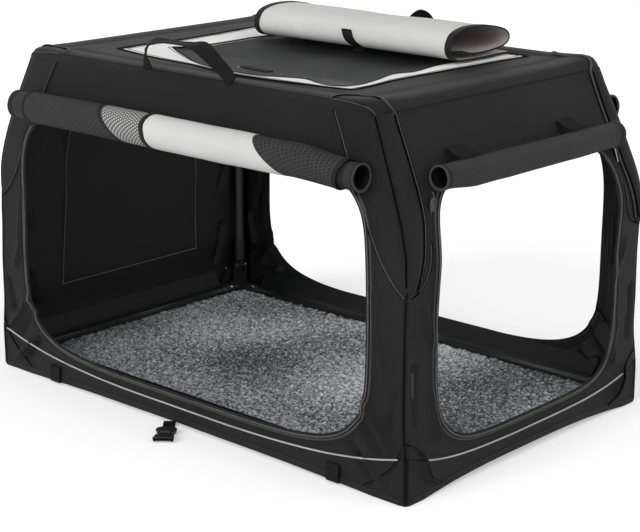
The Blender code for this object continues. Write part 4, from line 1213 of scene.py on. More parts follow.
def ringSpot(a, b, halfX, halfY, radius):
    x, y = roundedRect(a * halfX, b * halfY, halfX, halfY, radius)
    return Vector((x, y, 0))


def hump(point):
    # the corner fittings push the cloth up
    values = roof["hump"]
    far = math.hypot(abs(point.x) - values["at"][0], abs(point.y) - values["at"][1])
    rise = values["rise"] if point.x > 0 else values["leftRise"]
    return rise * max(0.0, 1 - far / values["reach"]) ** 1.5


def roofSag(point):
    # cloth between the roof tubes hangs a little, and puckers along its seams
    sag, valley = roof["sag"], roof["valley"]
    deep = max(0.0, 1 - (point.x / sag["to"][0]) ** 2) * max(0.0, 1 - (point.y / sag["to"][1]) ** 2)
    edges = (abs(point.x) - valley["at"][0], abs(point.y) - valley["at"][1])
    near = max(math.exp(-((edge / valley["wide"]) ** 2)) for edge in edges)
    wave = noise.noise(point * 9.0) * sag["wave"]
    return -sag["deep"] * min(deep * 3, 1.0) - near * valley["deep"] + wave


def roofSkin(x, y, lift=0.0):
    # a point on the roof's outside
    topX, topY = halfSizes(crate["top"])
    inside = min(topX + 0.003 - abs(x), topY + 0.0008 - abs(y))
    point = Vector((x, y, 0))
    soft = min(max(inside - 0.022, 0.0) / 0.02, 1.0)
    height = between(roof["rim"], min(inside, 0.025)) + hump(point) + roofSag(point) * soft + lift
    return point + Vector((0, 0, height))


panelRows = 18
rimRows = []
for level, moreX, moreY, height in roof["rows"]:
    halfX, halfY = halfSizes(crate[level])
    rimRows.append((halfX + moreX, halfY + moreY, height))


def panelSpot(u, row):
    # a point of the roof panel: its rows go up over the eaves and the rim to the window's edge
    a, b = squarePoint(u % 1.0)
    last = len(rimRows) - 1
    if row <= last:
        low = min(int(row), last - 1)
        ends = zip(rimRows[low], rimRows[low + 1])
        halfX, halfY, height = (start + (end - start) * (row - low) for start, end in ends)
        point = ringSpot(a, b, halfX, halfY, crate["corner"])
        return point + Vector((0, 0, height + hump(point) * min(row / 4, 1.0)))
    share = (row - last) / (panelRows - last)
    halfX, halfY, height = rimRows[-1]
    point = ringSpot(a, b, halfX, halfY, crate["corner"]).lerp(edgeAt("outer", u % 1.0), share)
    return point + Vector((0, 0, height + hump(point) + roofSag(point) * min(1.0, share * 4)))


def mirrored(points):
    # the same line at all four corners, each on its own hump
    copies = []
    for x, y in ((-1, -1), (-1, 1), (1, -1), (1, 1)):
        copies.append([Vector((point.x * x, point.y * y, point.z)) for point in points])
        for point, spot in zip(points, copies[-1]):
            spot.z += (hump(spot) - hump(point)) * min(max((point.z - 0.5475) / 0.009, 0.0), 1.0)
    return copies


def capLines():
    # over each corner a ridge with a groove beside it, and a lower line with its groove; the ridges are
    # cords in a lighter tone, a painted highlight, and the grooves near-black cords, painted shade
    over = [roofSkin(x, y, capSeam["lift"]) for x, y in capSeam["over"]]
    over += [Vector(spot) for spot in capSeam["down"]]
    moreX, moreY, lift = capSeam["groove"]
    inside = [roofSkin(x + moreX, y + moreY, lift) for x, y in capSeam["over"][1:-1]]
    moreShare, moreRow = capSeam["lowerGroove"]
    lower, beside = [], []
    for u, row in capSeam["lower"]:
        lower.append(panelSpot(u, row) + Vector((0, -0.0003, 0.0004)))
        beside.append(panelSpot(u + moreShare, row + moreRow) + Vector((0, -0.0002, 0.0002)))
    return [
        cordAlong(line, radius, step=0.006, flat=0.9, slotNumber=number)
        for points, (radius, number) in zip((over, inside, lower, beside), capSeam["cords"])
        for line in mirrored(points)
    ]


def windowTape():
    # a black tape outside the light border, coloured near-black with painted shade along the border's
    # edge
    tape = roof["tape"]
    spots = [edgeAt("outer", i / 160) for i in range(160)]
    points = []
    for before, spot, after in zip([spots[-1], *spots], spots, [*spots[1:], spots[0]]):
        out = (after - before).cross(Vector((0, 0, 1))).normalized()
        point = spot + out * tape["away"]
        points.append(point + Vector((0, 0, roof["face"] + roofSag(point))))
    return cordAlong(points, tape["radius"], 8, closed=True, flat=tape["flat"], slotNumber=4)


def makeRoofPanel():
    def placeAt(u, v):
        return panelSpot(u, round(v * panelRows))

    sheet = faceOutFrom(gridSheet(300, panelRows, placeAt, (2.0, 0.12), True), (0, 0, 0.3))
    shapes = [thicken(sheet, crate["cloth"], 3)]
    for start, end, row, radius in roof["seams"]:
        line = [panelSpot(start + (end - start) * i / 40, row) for i in range(41)]
        shapes.append(cordAlong(line, radius, flat=0.8))
    shapes += [windowTape(), *capLines()]
    # the panel's inner face takes the inner cloth, darkened as painted shade
    looks = ["blackCloth", "seamRidge", "bindingTape", "innerCloth", "seamShadow"]
    made = makePiece("roofPanel", joinShapes(shapes), looks, "roof", ["roof_panel"])


def borderSpot(u, v, lift=0.0):
    values = roof["border"]
    fine, rise = values["wave"]
    point = edgeAt("outer", u % 1.0).lerp(edgeAt("inner", u % 1.0), v)
    crown = values["crown"] * math.sin(math.pi * min(max(v, 0.0), 1.0))
    crown += noise.noise(point * fine) * rise
    height = values["height"] + roofSag(point) + crown - values["droop"] * v + lift
    return point + Vector((0, 0, height))


def makeBorder():
    sheet = faceOutFrom(gridSheet(280, 8, borderSpot, (1.9, 0.035), True), (0, 0, 0.3))
    shapes = [thicken(sheet, roof["border"]["thickness"])]
    for across, number, radius in roof["borderLines"]:
        points = [borderSpot(i / 240, across, 0.0004) for i in range(240)]
        shapes.append(cordAlong(points, radius, 5, 0.006, True, slotNumber=number))
    shape, looks = joinShapes(shapes), ["borderCloth", "greyThread", "seamShadow"]
    node = "roof_window_border"
    made = makePiece("windowBorder", shape, looks, "roof", [node])


def makeWindowNet():
    values = roof["net"]
    middle = Vector(values["middle"])

    def placeAt(u, v):
        # rings from the window's middle to its inner edge
        point = middle.lerp(edgeAt("inner", u % 1.0), v * values["overlap"])
        deep = 1 - min(v, 1.0) ** 3
        waved = sum(noise.noise(point * fine) * rise for fine, rise in values["waves"])
        height = values["height"] + roofSag(point) + (waved - values["sag"]) * deep
        return point + Vector((0, 0, height))

    net = faceOutFrom(gridSheet(200, 34, placeAt, (1, 1), True), (0, 0, 0.3))
    layer = net.loops.layers.uv["cut"]
    for face in net.faces:
        for loop in face.loops:
            loop[layer].uv = loop.vert.co.xy
    net = thicken(net, values["thickness"])
    made = makePiece("windowNet", net, ["windowNet"], "roof", ["roof_window_mesh"])


makeRoofPanel()
makeBorder()
makeWindowNet()
print("roof covered")

# the window's cover, rolled back, with its strap
coverRoll = {
    "left": -0.18, "right": 0.24, "front": 0.06, "reach": 0.15, "foot": 0.5614, "rise": 0.0523,
    "cloth": 0.0015, "binding": 0.011, "step": 0.0065, "columns": 64, "outerFrom": 0.035,
    "middle": 0.03,
    "outline": ((0.98, 0.0), (0.7, 0.0), (0.3, 0.0), (0.1, 0.05), (0.0, 0.28), (0.01, 0.62),
                (0.1, 0.88), (0.33, 1.0), (0.65, 0.95), (0.92, 0.74), (1.0, 0.48), (0.92, 0.27),
                (0.7, 0.17), (0.38, 0.16), (0.16, 0.3)),
    "strap": {"at": 0.036, "width": 0.02, "lean": -0.02, "thickness": 0.002, "top": 0.03},
    # how wide and deep the strap pinches the roll; how fine its sway and waves are, and their height
    "pinch": (0.06, 0.035), "sway": (5.0, 0.0035), "wave": (9.0, 1.7, 0.002),
}


def coverPath(x):
    # the roll sags towards its ends and is tighter under the strap
    wide, deep = coverRoll["pinch"]
    pinch = math.exp(-(((x - coverRoll["strap"]["at"]) / wide) ** 2))
    fine, swayed = coverRoll["sway"]
    sway = noise.noise(Vector((x * fine, 0.3, 0.9))) * swayed
    fine, bend, waved = coverRoll["wave"]
    low, rise = coverRoll["foot"] + coverRoll["cloth"] / 2, coverRoll["rise"] - 0.002
    points = []
    for along, up in coverRoll["outline"]:
        swell = 1.0 - deep * pinch * up
        wave = noise.noise(Vector((x * fine, along * bend, up * bend))) * waved * min(1.0, up * 3)
        y = coverRoll["front"] + coverRoll["reach"] * along + (sway * up if up > 0.1 else 0.0)
        points.append(Vector((x, y, low + rise * up * swell + wave * 0.5)))
    return smoothPath(points, coverRoll["step"])


def makeCoverRoll():
    start, end, bound, foot = (coverRoll[key] for key in ("left", "right", "binding", "foot"))
    count = len(coverPath(0.0)) - 1
    length = coverRoll["step"] * count
    paths = {}

    def placeAt(u, v):
        if u not in paths:
            paths[u] = coverPath(start + (end - start) * u)
        return paths[u][min(round(v * count), len(paths[u]) - 1)].copy()

    middle = Vector((0, coverRoll["front"] + coverRoll["reach"] * 0.5, foot + coverRoll["middle"]))

    def outwards(face):
        # the upper outer face of the roll looks away from the roll's middle
        spot = face.calc_center_median()
        if spot.z <= foot + coverRoll["outerFrom"]:
            return 0.0
        return face.normal.dot(Vector((0, spot.y - middle.y, spot.z - middle.z)))

    sheet = turnFaces(gridSheet(coverRoll["columns"], count, placeAt, (end - start, length)), outwards)
    shapes = [thicken(sheet, coverRoll["cloth"], 1)]
    for x, inward in ((start + 0.0004, 1), (end - 0.0004, -1)):
        shift = Vector((inward * bound / 2 - inward * 0.0012, 0, 0))
        points = [point + shift for point in coverPath(x)]
        shapes.append(tapeOver(points, Vector((bound, 0, 0)), coverRoll["cloth"] + 0.0012, 2))
    shape, looks = joinShapes(shapes), ["lightGreyCloth", "taupeLining", "bindingTape"]
    made = makePiece("roofCoverRoll", shape, looks, "roof", ["roof_cover_roll"])


def tapeOver(points, width, thickness, slotNumber):
    # a tape centred on a path: its thickness reaches both sides of the path
    across = width.normalized()
    faces = [way.cross(across) for way in pathWays(points)]

    def placeAt(u, v):
        i = round(v * (len(points) - 1))
        return points[i] + width * (u - 0.5) + faces[i] * (thickness / 2)

    def outwards(face):
        spot = face.calc_center_median()
        near = min(range(len(points)), key=lambda i: (points[i] - spot).length)
        return face.normal.dot(faces[near])

    sheet = gridSheet(2, len(points) - 1, placeAt, (width.length, 0.3), False, slotNumber)
    return thicken(turnFaces(sheet, outwards), thickness)


makeCoverRoll()


def makeRollStrap():
    # from under the roll's foot up its front, leaning to the left
    values, foot = coverRoll["strap"], coverRoll["foot"]
    path = coverPath(values["at"])
    heights = [point.z - foot for point in path]
    first = next(i for i, height in enumerate(heights) if height > 0.008 and path[i].y < 0.075)
    last = next(i for i, height in enumerate(heights) if i > first and height > values["top"])
    points = []
    for k, point in enumerate(path[first - 2:last + 1]):
        share = k / (last - first + 2)
        out = Vector((0, -1, 0.35 * share)).normalized() * (coverRoll["cloth"] / 2 + 0.0026)
        points.append(point + out + Vector((values["lean"] * (share - 0.5), 0, 0)))
    points[0] = Vector((points[0].x, points[0].y - 0.002, foot + 0.0016))
    points.insert(0, points[0] + Vector((0.003, -0.01, -0.0004)))
    length = sum((b - a).length for a, b in zip(points, points[1:]))
    shape = strapAlong(points, Vector((values["width"], 0, 0)), values["thickness"], 6)
    made = makePiece("roofRollStrap", shape, ["webbing"], "roof", ["roof_roll_strap"])


makeRollStrap()
print("roof roll lies back")

# rolled doors: spirals of cloth; each turn lies on the one inside it
rolls = {
    "layer": 0.001, "gap": 0.0004, "binding": 0.01, "turns": 2.6, "rimSteps": 18, "sway": 0.0012,
    # lumps: how fine they are along and round the roll, and their height
    "lumps": ((7.0, 0.9, 0.0012), (21.0, 1.4, 0.0005)),
    # a free end is wound tighter, and hangs a little lower or higher: where that starts and ends, how
    # much tighter, how much higher
    "ends": {"front": (0.255, 0.376, 0.14, -0.0065), "right": (0.13, 0.208, 0.16, 0.0035)},
    "straight": (1.0, 2.0, 0.0, 0.0),
    "front": {"middle": (-0.3068, 0.473), "radius": 0.0236, "left": -0.3605, "right": 0.381},
    "back": {"middle": (0.3048, 0.473), "radius": 0.0234, "left": -0.3605, "right": 0.375},
    "right": {"middle": (0.44, 0.455), "radius": 0.0209, "left": -0.212, "right": 0.219},
}


def rollPoint(side, x, turn, radius):
    # a point of a roll: turn 0 faces away from the crate, a quarter turn is up
    values = rolls[side]
    along, out = sideWays[side]
    if abs(along.x) > abs(along.y):
        along = Vector((1, 0, 0))
    lump = 0.0
    for fine, bend, rise in rolls["lumps"]:
        lump += noise.noise(Vector((x * fine, math.cos(turn) * bend, math.sin(turn) * bend))) * rise
    sway = noise.noise(Vector((x * 3.0, 4.0, 2.0))) * rolls["sway"]
    start, end, tight, lift = rolls["ends"].get(side, rolls["straight"])
    near = min(max(((x if side == "front" else -x) - start) / (end - start), 0.0), 1.0)
    near *= near * (3 - 2 * near)
    reach = (radius + lump) * (1 - tight * near)
    height = values["middle"][1] + sway + lift * near + math.sin(turn) * reach
    place = along * x + Vector((0, 0, height))
    if out.x:
        return place + Vector((values["middle"][0] + math.cos(turn) * reach * out.x, 0, 0))
    return place + Vector((0, values["middle"][0] + math.cos(turn) * reach * out.y, 0))


def limitAt(limit, height):
    # a section's limit along the roll: a number, or its place at mid height, slope, bend and the
    # slope that the upper half has besides
    if isinstance(limit, float):
        return limit
    place, slope, bend, upper = limit
    return place + slope * height + bend * height**2 + upper * max(height, 0.0)


def rollLayer(side, radius, turns, sections, steps=40, inside=1, first=0.5):
    # cloth wound from its top edge round by the wall; each section has its limits along the roll,
    # its own stand-off, material number and count of columns
    columns = []
    for low, high, lift, slotNumber, count in sections:
        for k in range(count):
            columns.append((low, high, k / count, lift, slotNumber, count))
    low, high, lift, slotNumber, _ = sections[-1]
    columns.append((low, high, 1.0, lift, slotNumber, 1))
    rows = round(turns * steps)
    drop = rolls["layer"] + rolls["gap"]

    def placeAt(u, v):
        low, high, share, lift, _, count = columns[round(u * (len(columns) - 1))]
        row = round(v * rows)
        turn = 2 * math.pi * (first + row / steps)
        start, end = (limitAt(limit, math.sin(turn)) for limit in (low, high))
        x = start + (end - start) * share
        rise = lift * min(1.0, min(share, 1 - share) * count + 0.15) if lift else 0.0
        return rollPoint(side, x, turn, radius - drop * row / steps + rise)

    def slotAt(u, v):
        return columns[min(int(u * (len(columns) - 1)), len(columns) - 2)][4]

    along, out = sideWays[side]
    values = rolls[side]
    middle = out * abs(values["middle"][0]) + Vector((0, 0, values["middle"][1]))

    def outwards(face):
        spot = face.calc_center_median() - middle
        return face.normal.dot(spot - along * spot.dot(along))

    length = 2 * math.pi * radius * turns
    wide = limitAt(sections[-1][1], 0.0) - limitAt(sections[0][0], 0.0)
    sheet = gridSheet(len(columns) - 1, rows, placeAt, (wide, length), False, slotAt)
    return thicken(turnFaces(sheet, outwards), rolls["layer"], inside), length, wide


def rollRim(side, x, radius, slotNumber=7):
    # the hem of the wound cloth, seen at the roll's end, in the lighter seam tone: a painted highlight
    # on its rim
    drop, steps = rolls["layer"] + rolls["gap"], rolls["rimSteps"]
    points = []
    for i in range(round(rolls["turns"] * steps) + 1):
        turn = 2 * math.pi * (0.5 + i / steps)
        points.append(rollPoint(side, x, turn, radius - rolls["layer"] / 2 - drop * i / steps))
    return cordAlong(points, 0.0009, step=0.004, guide=sideWays[side][0], slotNumber=slotNumber)


# what the material numbers of a roll stand for, from 0 to 7: 1 darkens the inner faces as painted
# shade, and 7 is a painted highlight on the rims at the ends
rollLooks = [
    "blackCloth", "innerCloth", "bindingTape", "coarseNet", "netOverGrey", "lightGreyCloth",
    "blackThread", "seamRidge",
]


def makeDoorRoll(side, sections, nodeName, less=0.0, rimLift=0.0011):
    # a rolled door: its sheet and the hems at both ends; less is how much thinner it is wound
    values = rolls[side]
    shape, length, wide = rollLayer(side, values["radius"] - less, rolls["turns"], sections)
    rims = [rollRim(side, values[end], values["radius"] + rimLift) for end in ("left", "right")]
    shape = joinShapes([shape, *rims])
    made = makePiece(side + "DoorRoll", shape, rollLooks, "roof", [nodeName])
    length * 0.86


def plainSections(side):
    left, right, bound = rolls[side]["left"], rolls[side]["right"], rolls["binding"]
    return (
        (left, left + bound, 0.0011, 2, 5), (left + bound, right - bound, 0.0, 3, 60),
        (right - bound, right, 0.0011, 2, 5),
    )


# sections of the front roll: limits along it, stand-off, material number, columns
frontInner = (
    (-0.3605, -0.3505, 0.001, 2, 5), (-0.3505, -0.328, 0.0, 3, 5), (-0.328, 0.364, 0.0, 0, 24),
    (0.364, 0.377, 0.0, 3, 4), (0.377, 0.381, 0.0006, 2, 2),
)
# limits of the cloth wound round it
coverLimits = (
    (-0.323, -0.002, 0.0, 0.0), (-0.316, -0.002, 0.0, 0.0), (-0.1265, -0.028, 0.0, 0.0),
    (-0.1145, -0.028, 0.0, 0.0), (-0.041, 0.0, 0.006, -0.01), (-0.03, 0.0, 0.006, -0.01),
    (0.212, -0.034, 0.0, 0.0), (0.2155, -0.034, 0.0, 0.0), (0.346, 0.006, 0.0, 0.0),
    (0.354, 0.006, 0.0, 0.0),
)
coverSections = (
    (0.001, 2, 4), (0.0, 3, 22), (0.0012, 2, 5), (0.0, 4, 10), (0.0014, 2, 5), (0.0007, 5, 30),
    (0.0002, 5, 2), (-0.0004, 3, 12), (0.001, 2, 4),
)
frontCover = {"radius": 0.026, "turns": 0.94, "steps": 56}


def makeFrontCover():
    sections = [(*limits, *rest) for *limits, rest in zip(coverLimits, coverLimits[1:], coverSections)]
    radius, turns, steps = (frontCover[key] for key in ("radius", "turns", "steps"))
    shape, length, wide = rollLayer("front", radius, turns, sections, steps)
    made = makePiece(
        "frontCoverRoll", shape, rollLooks, "roof", ["front_door_cover_roll"]
    )


makeDoorRoll("front", frontInner, "front_door_roll", 0.0003, 0.0004)
makeFrontCover()
for side in ("back", "right"):
    makeDoorRoll(side, plainSections(side), side + "_door_roll")
print("doors rolled up")

# fleece mat: grow is how far the sheet reaches before it is bent down, round the radius of that bend
mat = {
    "halfX": 0.4222, "halfY": 0.2562, "low": 0.0022, "high": 0.0272, "corner": 0.042, "curl": 0.0034,
    "grow": (1.05, 1.085), "edge": 0.02, "round": 0.0145, "out": 0.0055, "columns": 400, "rows": 250,
    # how fine each layer of curls is, and its share
    "curls": ((250.0, 1.0), (420.0, 0.5), (80.0, 0.35)),
}


def makeMat():
    low, radius = mat["low"], mat["round"]
    growX, growY = mat["halfX"] * mat["grow"][0], mat["halfY"] * mat["grow"][1]

    def placeAt(u, v):
        a, b = u * 2 - 1, v * 2 - 1
        x, y = roundedRect(a * growX, b * growY, growX, growY, mat["corner"])
        inner = Vector((x, y, 0))
        edgeX, edgeY = abs(x) - (mat["halfX"] - mat["edge"]), abs(y) - (mat["halfY"] - mat["edge"])
        beyondX, beyondY = max(edgeX, 0.0), max(edgeY, 0.0)
        reach = math.hypot(beyondX, beyondY)
        curls = sum(noise.noise(inner * scale) * share for scale, share in mat["curls"])
        top = mat["high"] - 0.0022 + noise.noise(inner * 5.0) * 0.0016
        if reach <= 0:
            return inner + Vector((0, 0, top + curls * mat["curl"]))
        # over the rounded edge and down to the floor
        away = Vector((math.copysign(beyondX, x), math.copysign(beyondY, y), 0)) / reach
        bend = min(reach / radius, math.pi / 2)
        down = max(reach - radius * math.pi / 2, 0.0)
        height = top - (1 - math.cos(bend)) * min(radius, (top - low) * 0.6) - down * 1.6
        point = inner - away * reach + away * (mat["out"] + math.sin(bend) * radius)
        point.z += max(height, low)
        normal = (away * math.sin(bend) + Vector((0, 0, math.cos(bend)))).normalized()
        fade = max(0.0, min(1.0, (point.z - low) / 0.006))
        return point + normal * curls * mat["curl"] * fade

    shape = gridSheet(mat["columns"], mat["rows"], placeAt, (0.9, 0.57))
    bmesh.ops.holes_fill(shape, edges=[edge for edge in shape.edges if edge.is_boundary], sides=0)
    faceOut(shape)
    made = makePiece("fleeceMat", shape, ["fleece"], "base", ["floor_mat"], sharp=180.0)


makeMat()
print("mat laid")

# handles on the roof's long edges: share of the span, share of the rise and how far the webbing is
# turned on edge
handles = {
    "left": -0.082, "right": 0.1, "out": 0.2719, "foot": 0.5588, "rise": 0.048, "width": 0.024,
    "thickness": 0.0021, "step": 0.004, "cup": 0.0007,
    "front": ((0.0, 0.0, 0.1), (-0.02, 0.42, 0.5), (0.02, 0.74, 0.8), (0.13, 0.87, 1.0),
              (0.34, 0.91, 1.0), (0.58, 0.92, 0.95), (0.7, 0.81, 0.6), (0.83, 0.52, 0.15),
              (0.94, 0.24, 0.0), (1.0, 0.0, 0.0)),
    "back": ((0.0, 0.0, 0.0), (0.05, 0.14, 0.2), (0.12, 0.24, 0.5), (0.19, 0.34, 0.6),
             (0.25, 0.58, 0.35), (0.32, 0.68, 0.12), (0.4, 0.68, 0.1), (0.46, 0.56, 0.35),
             (0.53, 0.34, 0.7), (0.62, 0.26, 0.7), (0.78, 0.22, 0.5), (0.9, 0.16, 0.2),
             (1.0, 0.0, 0.0)),
}


def makeHandle(side):
    way = 1 if side == "back" else -1
    span, width = handles["right"] - handles["left"], handles["width"]
    points, turns = [], []
    for along, up, turn in handles[side]:
        x = -way * (handles["left"] + span * along)
        points.append(Vector((x, way * handles["out"], handles["foot"] + handles["rise"] * up)))
        turns.append(turn * math.pi / 2)
    path = smoothPath(points, handles["step"])
    ways = pathWays(path)
    length = handles["step"] * len(path)
    across = Vector((0, 1, 0))

    def placeAt(u, v):
        place = v * (len(turns) - 1)
        i = min(int(place), len(turns) - 2)
        turn = turns[i] + (turns[i + 1] - turns[i]) * (place - i)
        i = round(v * (len(path) - 1))
        wide = (ways[i].cross(across) * math.cos(turn) + across * math.sin(turn)) * width
        cup = (abs(u - 0.5) * 2) ** 2 * handles["cup"]
        return path[i] + wide * (u - 0.5) + ways[i].cross(wide.normalized()) * cup

    sheet = thicken(gridSheet(8, len(path) - 1, placeAt, (width, length)), handles["thickness"])
    body = side + "_handle"
    made = makePiece(side + "Handle", sheet, ["webbing"], body, [body])


makeHandle("front")
makeHandle("back")

# hem loops, closing straps and their buckle
hemLoops = {
    "places": {"left": -0.31, "right": 0.32}, "width": 0.0245, "thickness": 0.0015,
    "outline": ((-0.2938, 0.0312), (-0.2941, 0.018), (-0.2946, 0.006), (-0.2966, 0.0022),
                (-0.2986, 0.0062), (-0.2984, 0.018), (-0.2972, 0.03)),
}
straps = {
    "at": -0.03, "out": 0.2937, "length": 0.034, "width": 0.0195, "thickness": 0.0019, "turn": 40.0,
    # share of the length and height over where it lies on the ground
    "outline": ((0.25, 0.0018), (0.5, 0.0004), (0.75, 0.0), (0.985, 0.0)), "start": 0.0045,
}


def makeHemLoop(name, x):
    points = [Vector((x, y, z)) for y, z in hemLoops["outline"]]
    shape = strapAlong(points, Vector((hemLoops["width"], 0, 0)), hemLoops["thickness"], 5, 0.003)
    node = "hem_loop_" + name
    made = makePiece("hemLoop" + name.capitalize(), shape, ["webbing"], "base", [node])


for name, x in hemLoops["places"].items():
    makeHemLoop(name, x)


def strapWays(side):
    # where a closing strap starts, which way it lies and the way across it
    way = 1 if side == "back" else -1
    direction = Matrix.Rotation(math.radians(straps["turn"]), 3, "Z") @ Vector((0, way, 0))
    start = Vector((-way * straps["at"], way * straps["out"], 0))
    return start, direction, direction.cross(Vector((0, 0, 1)))


def makeStrap(side):
    start, direction, across = strapWays(side)
    rest = straps["thickness"] / 2 + 0.0002
    points = [start + Vector((0, 0, straps["start"]))]
    for share, height in straps["outline"]:
        points.append(start + direction * straps["length"] * share + Vector((0, 0, rest + height)))
    shape = strapAlong(points, across * straps["width"], straps["thickness"], 5, 0.003)
    body, node = side + "_strap", side + "_closing_strap"
    made = makePiece(side + "ClosingStrap", shape, ["webbing"], body, [node])


makeStrap("front")
makeStrap("back")

# the socket of the side-release buckle: distance along it and half its width
buckle = {
    "start": 0.0335, "length": 0.049, "high": 0.0095, "low": 0.0026, "wall": 0.002, "deep": 0.02,
    "edge": 0.0009, "sharp": 0.9, "ribs": (0.0235, 0.0262, 0.0289), "rib": (0.008, 0.0006),
    "outline": ((0.0, 0.014), (0.003, 0.0166), (0.011, 0.017), (0.016, 0.015), (0.021, 0.0118),
                (0.032, 0.0114), (0.038, 0.0135), (0.0415, 0.0168), (0.049, 0.017)),
}


def hollowMouth(shape, far, direction):
    # the mouth that the plug's arms go into
    mouth = []
    for face in shape.faces:
        near = abs((face.calc_center_median() - far).dot(direction)) < 0.0006
        if near and abs(face.normal.dot(direction)) > 0.7:
            mouth.append(face)
    bmesh.ops.inset_region(shape, faces=mouth, thickness=buckle["wall"], depth=0.0)
    mouth = [face for face in mouth if face.is_valid]
    pushed = bmesh.ops.extrude_face_region(shape, geom=mouth)["geom"]
    bmesh.ops.delete(shape, geom=mouth, context="FACES")
    inside = [part for part in pushed if isinstance(part, bmesh.types.BMVert)]
    bmesh.ops.translate(shape, vec=direction * -buckle["deep"], verts=inside)


def makeBuckle():
    start, direction, across = strapWays("front")
    start += direction * buckle["start"]

    def placeAt(u, v):
        along, side = v * buckle["length"], u * 2 - 1
        height = buckle["high"] - 0.0016 * abs(side) ** 4 - 0.0012 * (1 - v)
        spread = across * (side * between(buckle["outline"], along))
        return start + direction * along + spread + Vector((0, 0, height))

    sheet = faceOutFrom(gridSheet(8, 28, placeAt, (0.034, buckle["length"])), (start.x, start.y, -1.0))
    shape = thicken(sheet, buckle["high"] - buckle["low"])
    hollowMouth(shape, start + direction * buckle["length"], direction)
    sharp = [edge for edge in shape.edges if edge.is_manifold]
    sharp = [edge for edge in sharp if edge.calc_face_angle() > buckle["sharp"]]
    bmesh.ops.bevel(
        shape, geom=sharp, offset=buckle["edge"], segments=2, profile=0.5, affect="EDGES", material=-1
    )
    shapes = [faceOut(shape)]
    half, radius = buckle["rib"]
    for along in buckle["ribs"]:
        middle = start + direction * along + Vector((0, 0, buckle["high"]))
        ends = [middle + across * side for side in (-half, 0, half)]
        shapes.append(cordAlong(ends, radius, step=0.004))
    shape = joinShapes(shapes)
    makePiece("buckleSocket", shape, ["mouldedNylon"], "front_strap", ["female_buckle"])


makeBuckle()
print("webbing sewn")

# zip pulls: a rubber loop at the right door, a flat tab at the roof window
zipPulls = {
    "door": {
        "top": (0.433, -0.219, 0.44), "middle": (0.4366, -0.2205, 0.418), "half": (0.0056, 0.0135),
        "ring": 0.0015, "cord": 0.001, "plate": 0.001, "fill": (0.9, 0.93),
    },
    "window": {
        "path": ((0.033, -0.1845, 0.5626), (0.045, -0.1875, 0.5632), (0.064, -0.19, 0.5628),
                 (0.096, -0.1905, 0.5622)),
        "width": (0.003, 0.012, 0), "thickness": 0.002,
    },
}


def makeDoorPull():
    values = zipPulls["door"]
    top, middle = Vector(values["top"]), Vector(values["middle"])
    halfY, halfZ = values["half"]

    def ovalSpot(share, shareY=1.0, shareZ=1.0):
        turn = 2 * math.pi * share
        return middle + Vector((0, math.cos(turn) * halfY * shareY, math.sin(turn) * halfZ * shareZ))

    fillY, fillZ = values["fill"]
    plate = gridSheet(24, 3, lambda u, v: ovalSpot(u, v * fillY, v * fillZ), (1, 1), True)
    plate = faceOutFrom(plate, (0, middle.y, middle.z))
    bmesh.ops.translate(plate, vec=(0.0004, 0, 0), verts=plate.verts)
    ring = [ovalSpot(i / 24) for i in range(24)]
    cord = [top, (top + middle) / 2 + Vector((0.0022, 0.001, 0.005)), middle + Vector((0, 0, halfZ))]
    shape = joinShapes([
        cordAlong(ring, values["ring"], 8, 0.0025, True, guide=(1, 0, 0)),
        cordAlong(cord, values["cord"], step=0.003), thicken(plate, values["plate"]),
    ])
    body = "right_door_zip_pull"
    makePiece("doorZipPull", shape, ["pullRubber"], body, [body])


def makeWindowPull():
    values = zipPulls["window"]
    shape = strapAlong(values["path"], Vector(values["width"]), values["thickness"], step=0.003)
    makePiece("windowZipPull", shape, ["webbing"], "roof_zip_slider")


makeDoorPull()
makeWindowPull()

# small tabs over the rolled right door and beside its doorway
tabs = {
    "over": ((0.4065, 0.486), (0.4125, 0.484), (0.42, 0.48), (0.428, 0.4778), (0.437, 0.4772)),
    "places": {"Near": (-0.138, 0.04), "Far": (0.126, 0.036)}, "thickness": 0.0014,
    "side": ((0.431, 0.231, 0.433), (0.4335, 0.2335, 0.423), (0.4355, 0.2375, 0.408)),
    "sideWidth": (-0.0062, 0.008, 0),
}


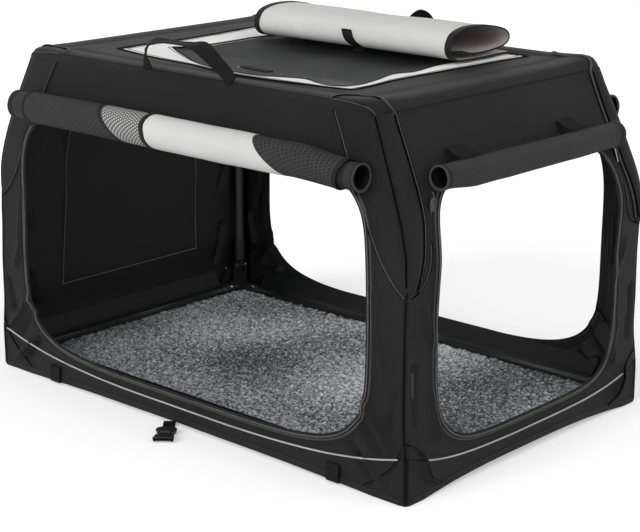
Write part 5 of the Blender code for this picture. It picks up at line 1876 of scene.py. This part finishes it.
def makeTabs():
    for name, (y, width) in tabs["places"].items():
        points = [Vector((x, y, z)) for x, z in tabs["over"]]
        shape = strapAlong(points, Vector((0, width, 0)), tabs["thickness"], 6)
        made = makePiece("rollTab" + name, shape, ["webbing"], "roof")
    shape = strapAlong(tabs["side"], Vector(tabs["sideWidth"]), tabs["thickness"])
    made = makePiece("doorSideTab", shape, ["lightGreyCloth"], "roof")


makeTabs()

# bright rivet heads inside the back left corner: body, then place and direction of each
rivets = {
    "radius": 0.0024, "flat": 0.45,
    "cornerRivets": ("base", (
        ((-0.4265, 0.2362, 0.0296), (0.87, 0.0, 0.5)), ((-0.3929, 0.2602, 0.0309), (1.0, 0.0, 0.0)),
        ((-0.4262, 0.2745, 0.0668), (1.0, 0.0, 0.0)),
    )),
    "postRivet": ("left_end", (((-0.4271, 0.2668, 0.106), (1.0, 0.0, 0.0)),)),
}


def makeRivets(name):
    body, spots = rivets[name]
    shape = bmesh.new()
    spread = Matrix.Diagonal((1.0, 1.0, rivets["flat"], 1.0))
    radius = rivets["radius"]
    for place, face in spots:
        turn = Vector((0, 0, 1)).rotation_difference(Vector(face)).to_matrix().to_4x4()
        matrix = Matrix.Translation(Vector(place)) @ turn @ spread
        bmesh.ops.create_uvsphere(shape, u_segments=10, v_segments=6, radius=radius, matrix=matrix)
    for face in shape.faces:
        face.smooth = True
    makePiece(name, shape, ["zincPlate"], body)


makeRivets("cornerRivets")
makeRivets("postRivet")
print("small fittings made")

# frame parts keep their shapes and get their finishes
nodeFinishes = {
    "powderCoat": ("_tube", "_post", "_crossbar"),
    "mouldedNylon": ("_post_foot", "_elbow", "base_corner_", "roof_corner_", "_buckle"),
    "zincPlate": ("pivot_pin", "roof_zip_slider"),
    "pullRubber": ("right_door_zip_pull",),
}


def finishFor(name):
    for finish in ("mouldedNylon", "zincPlate", "pullRubber", "powderCoat"):
        if any(word in name for word in nodeFinishes[finish]):
            return finish
    return None


for name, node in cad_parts.items():
    finish = finishFor(name)
    if finish is None or node.hide_render:
        continue
    for slot in node.material_slots:
        slot.material = finishes[finish]
print("frame finished")
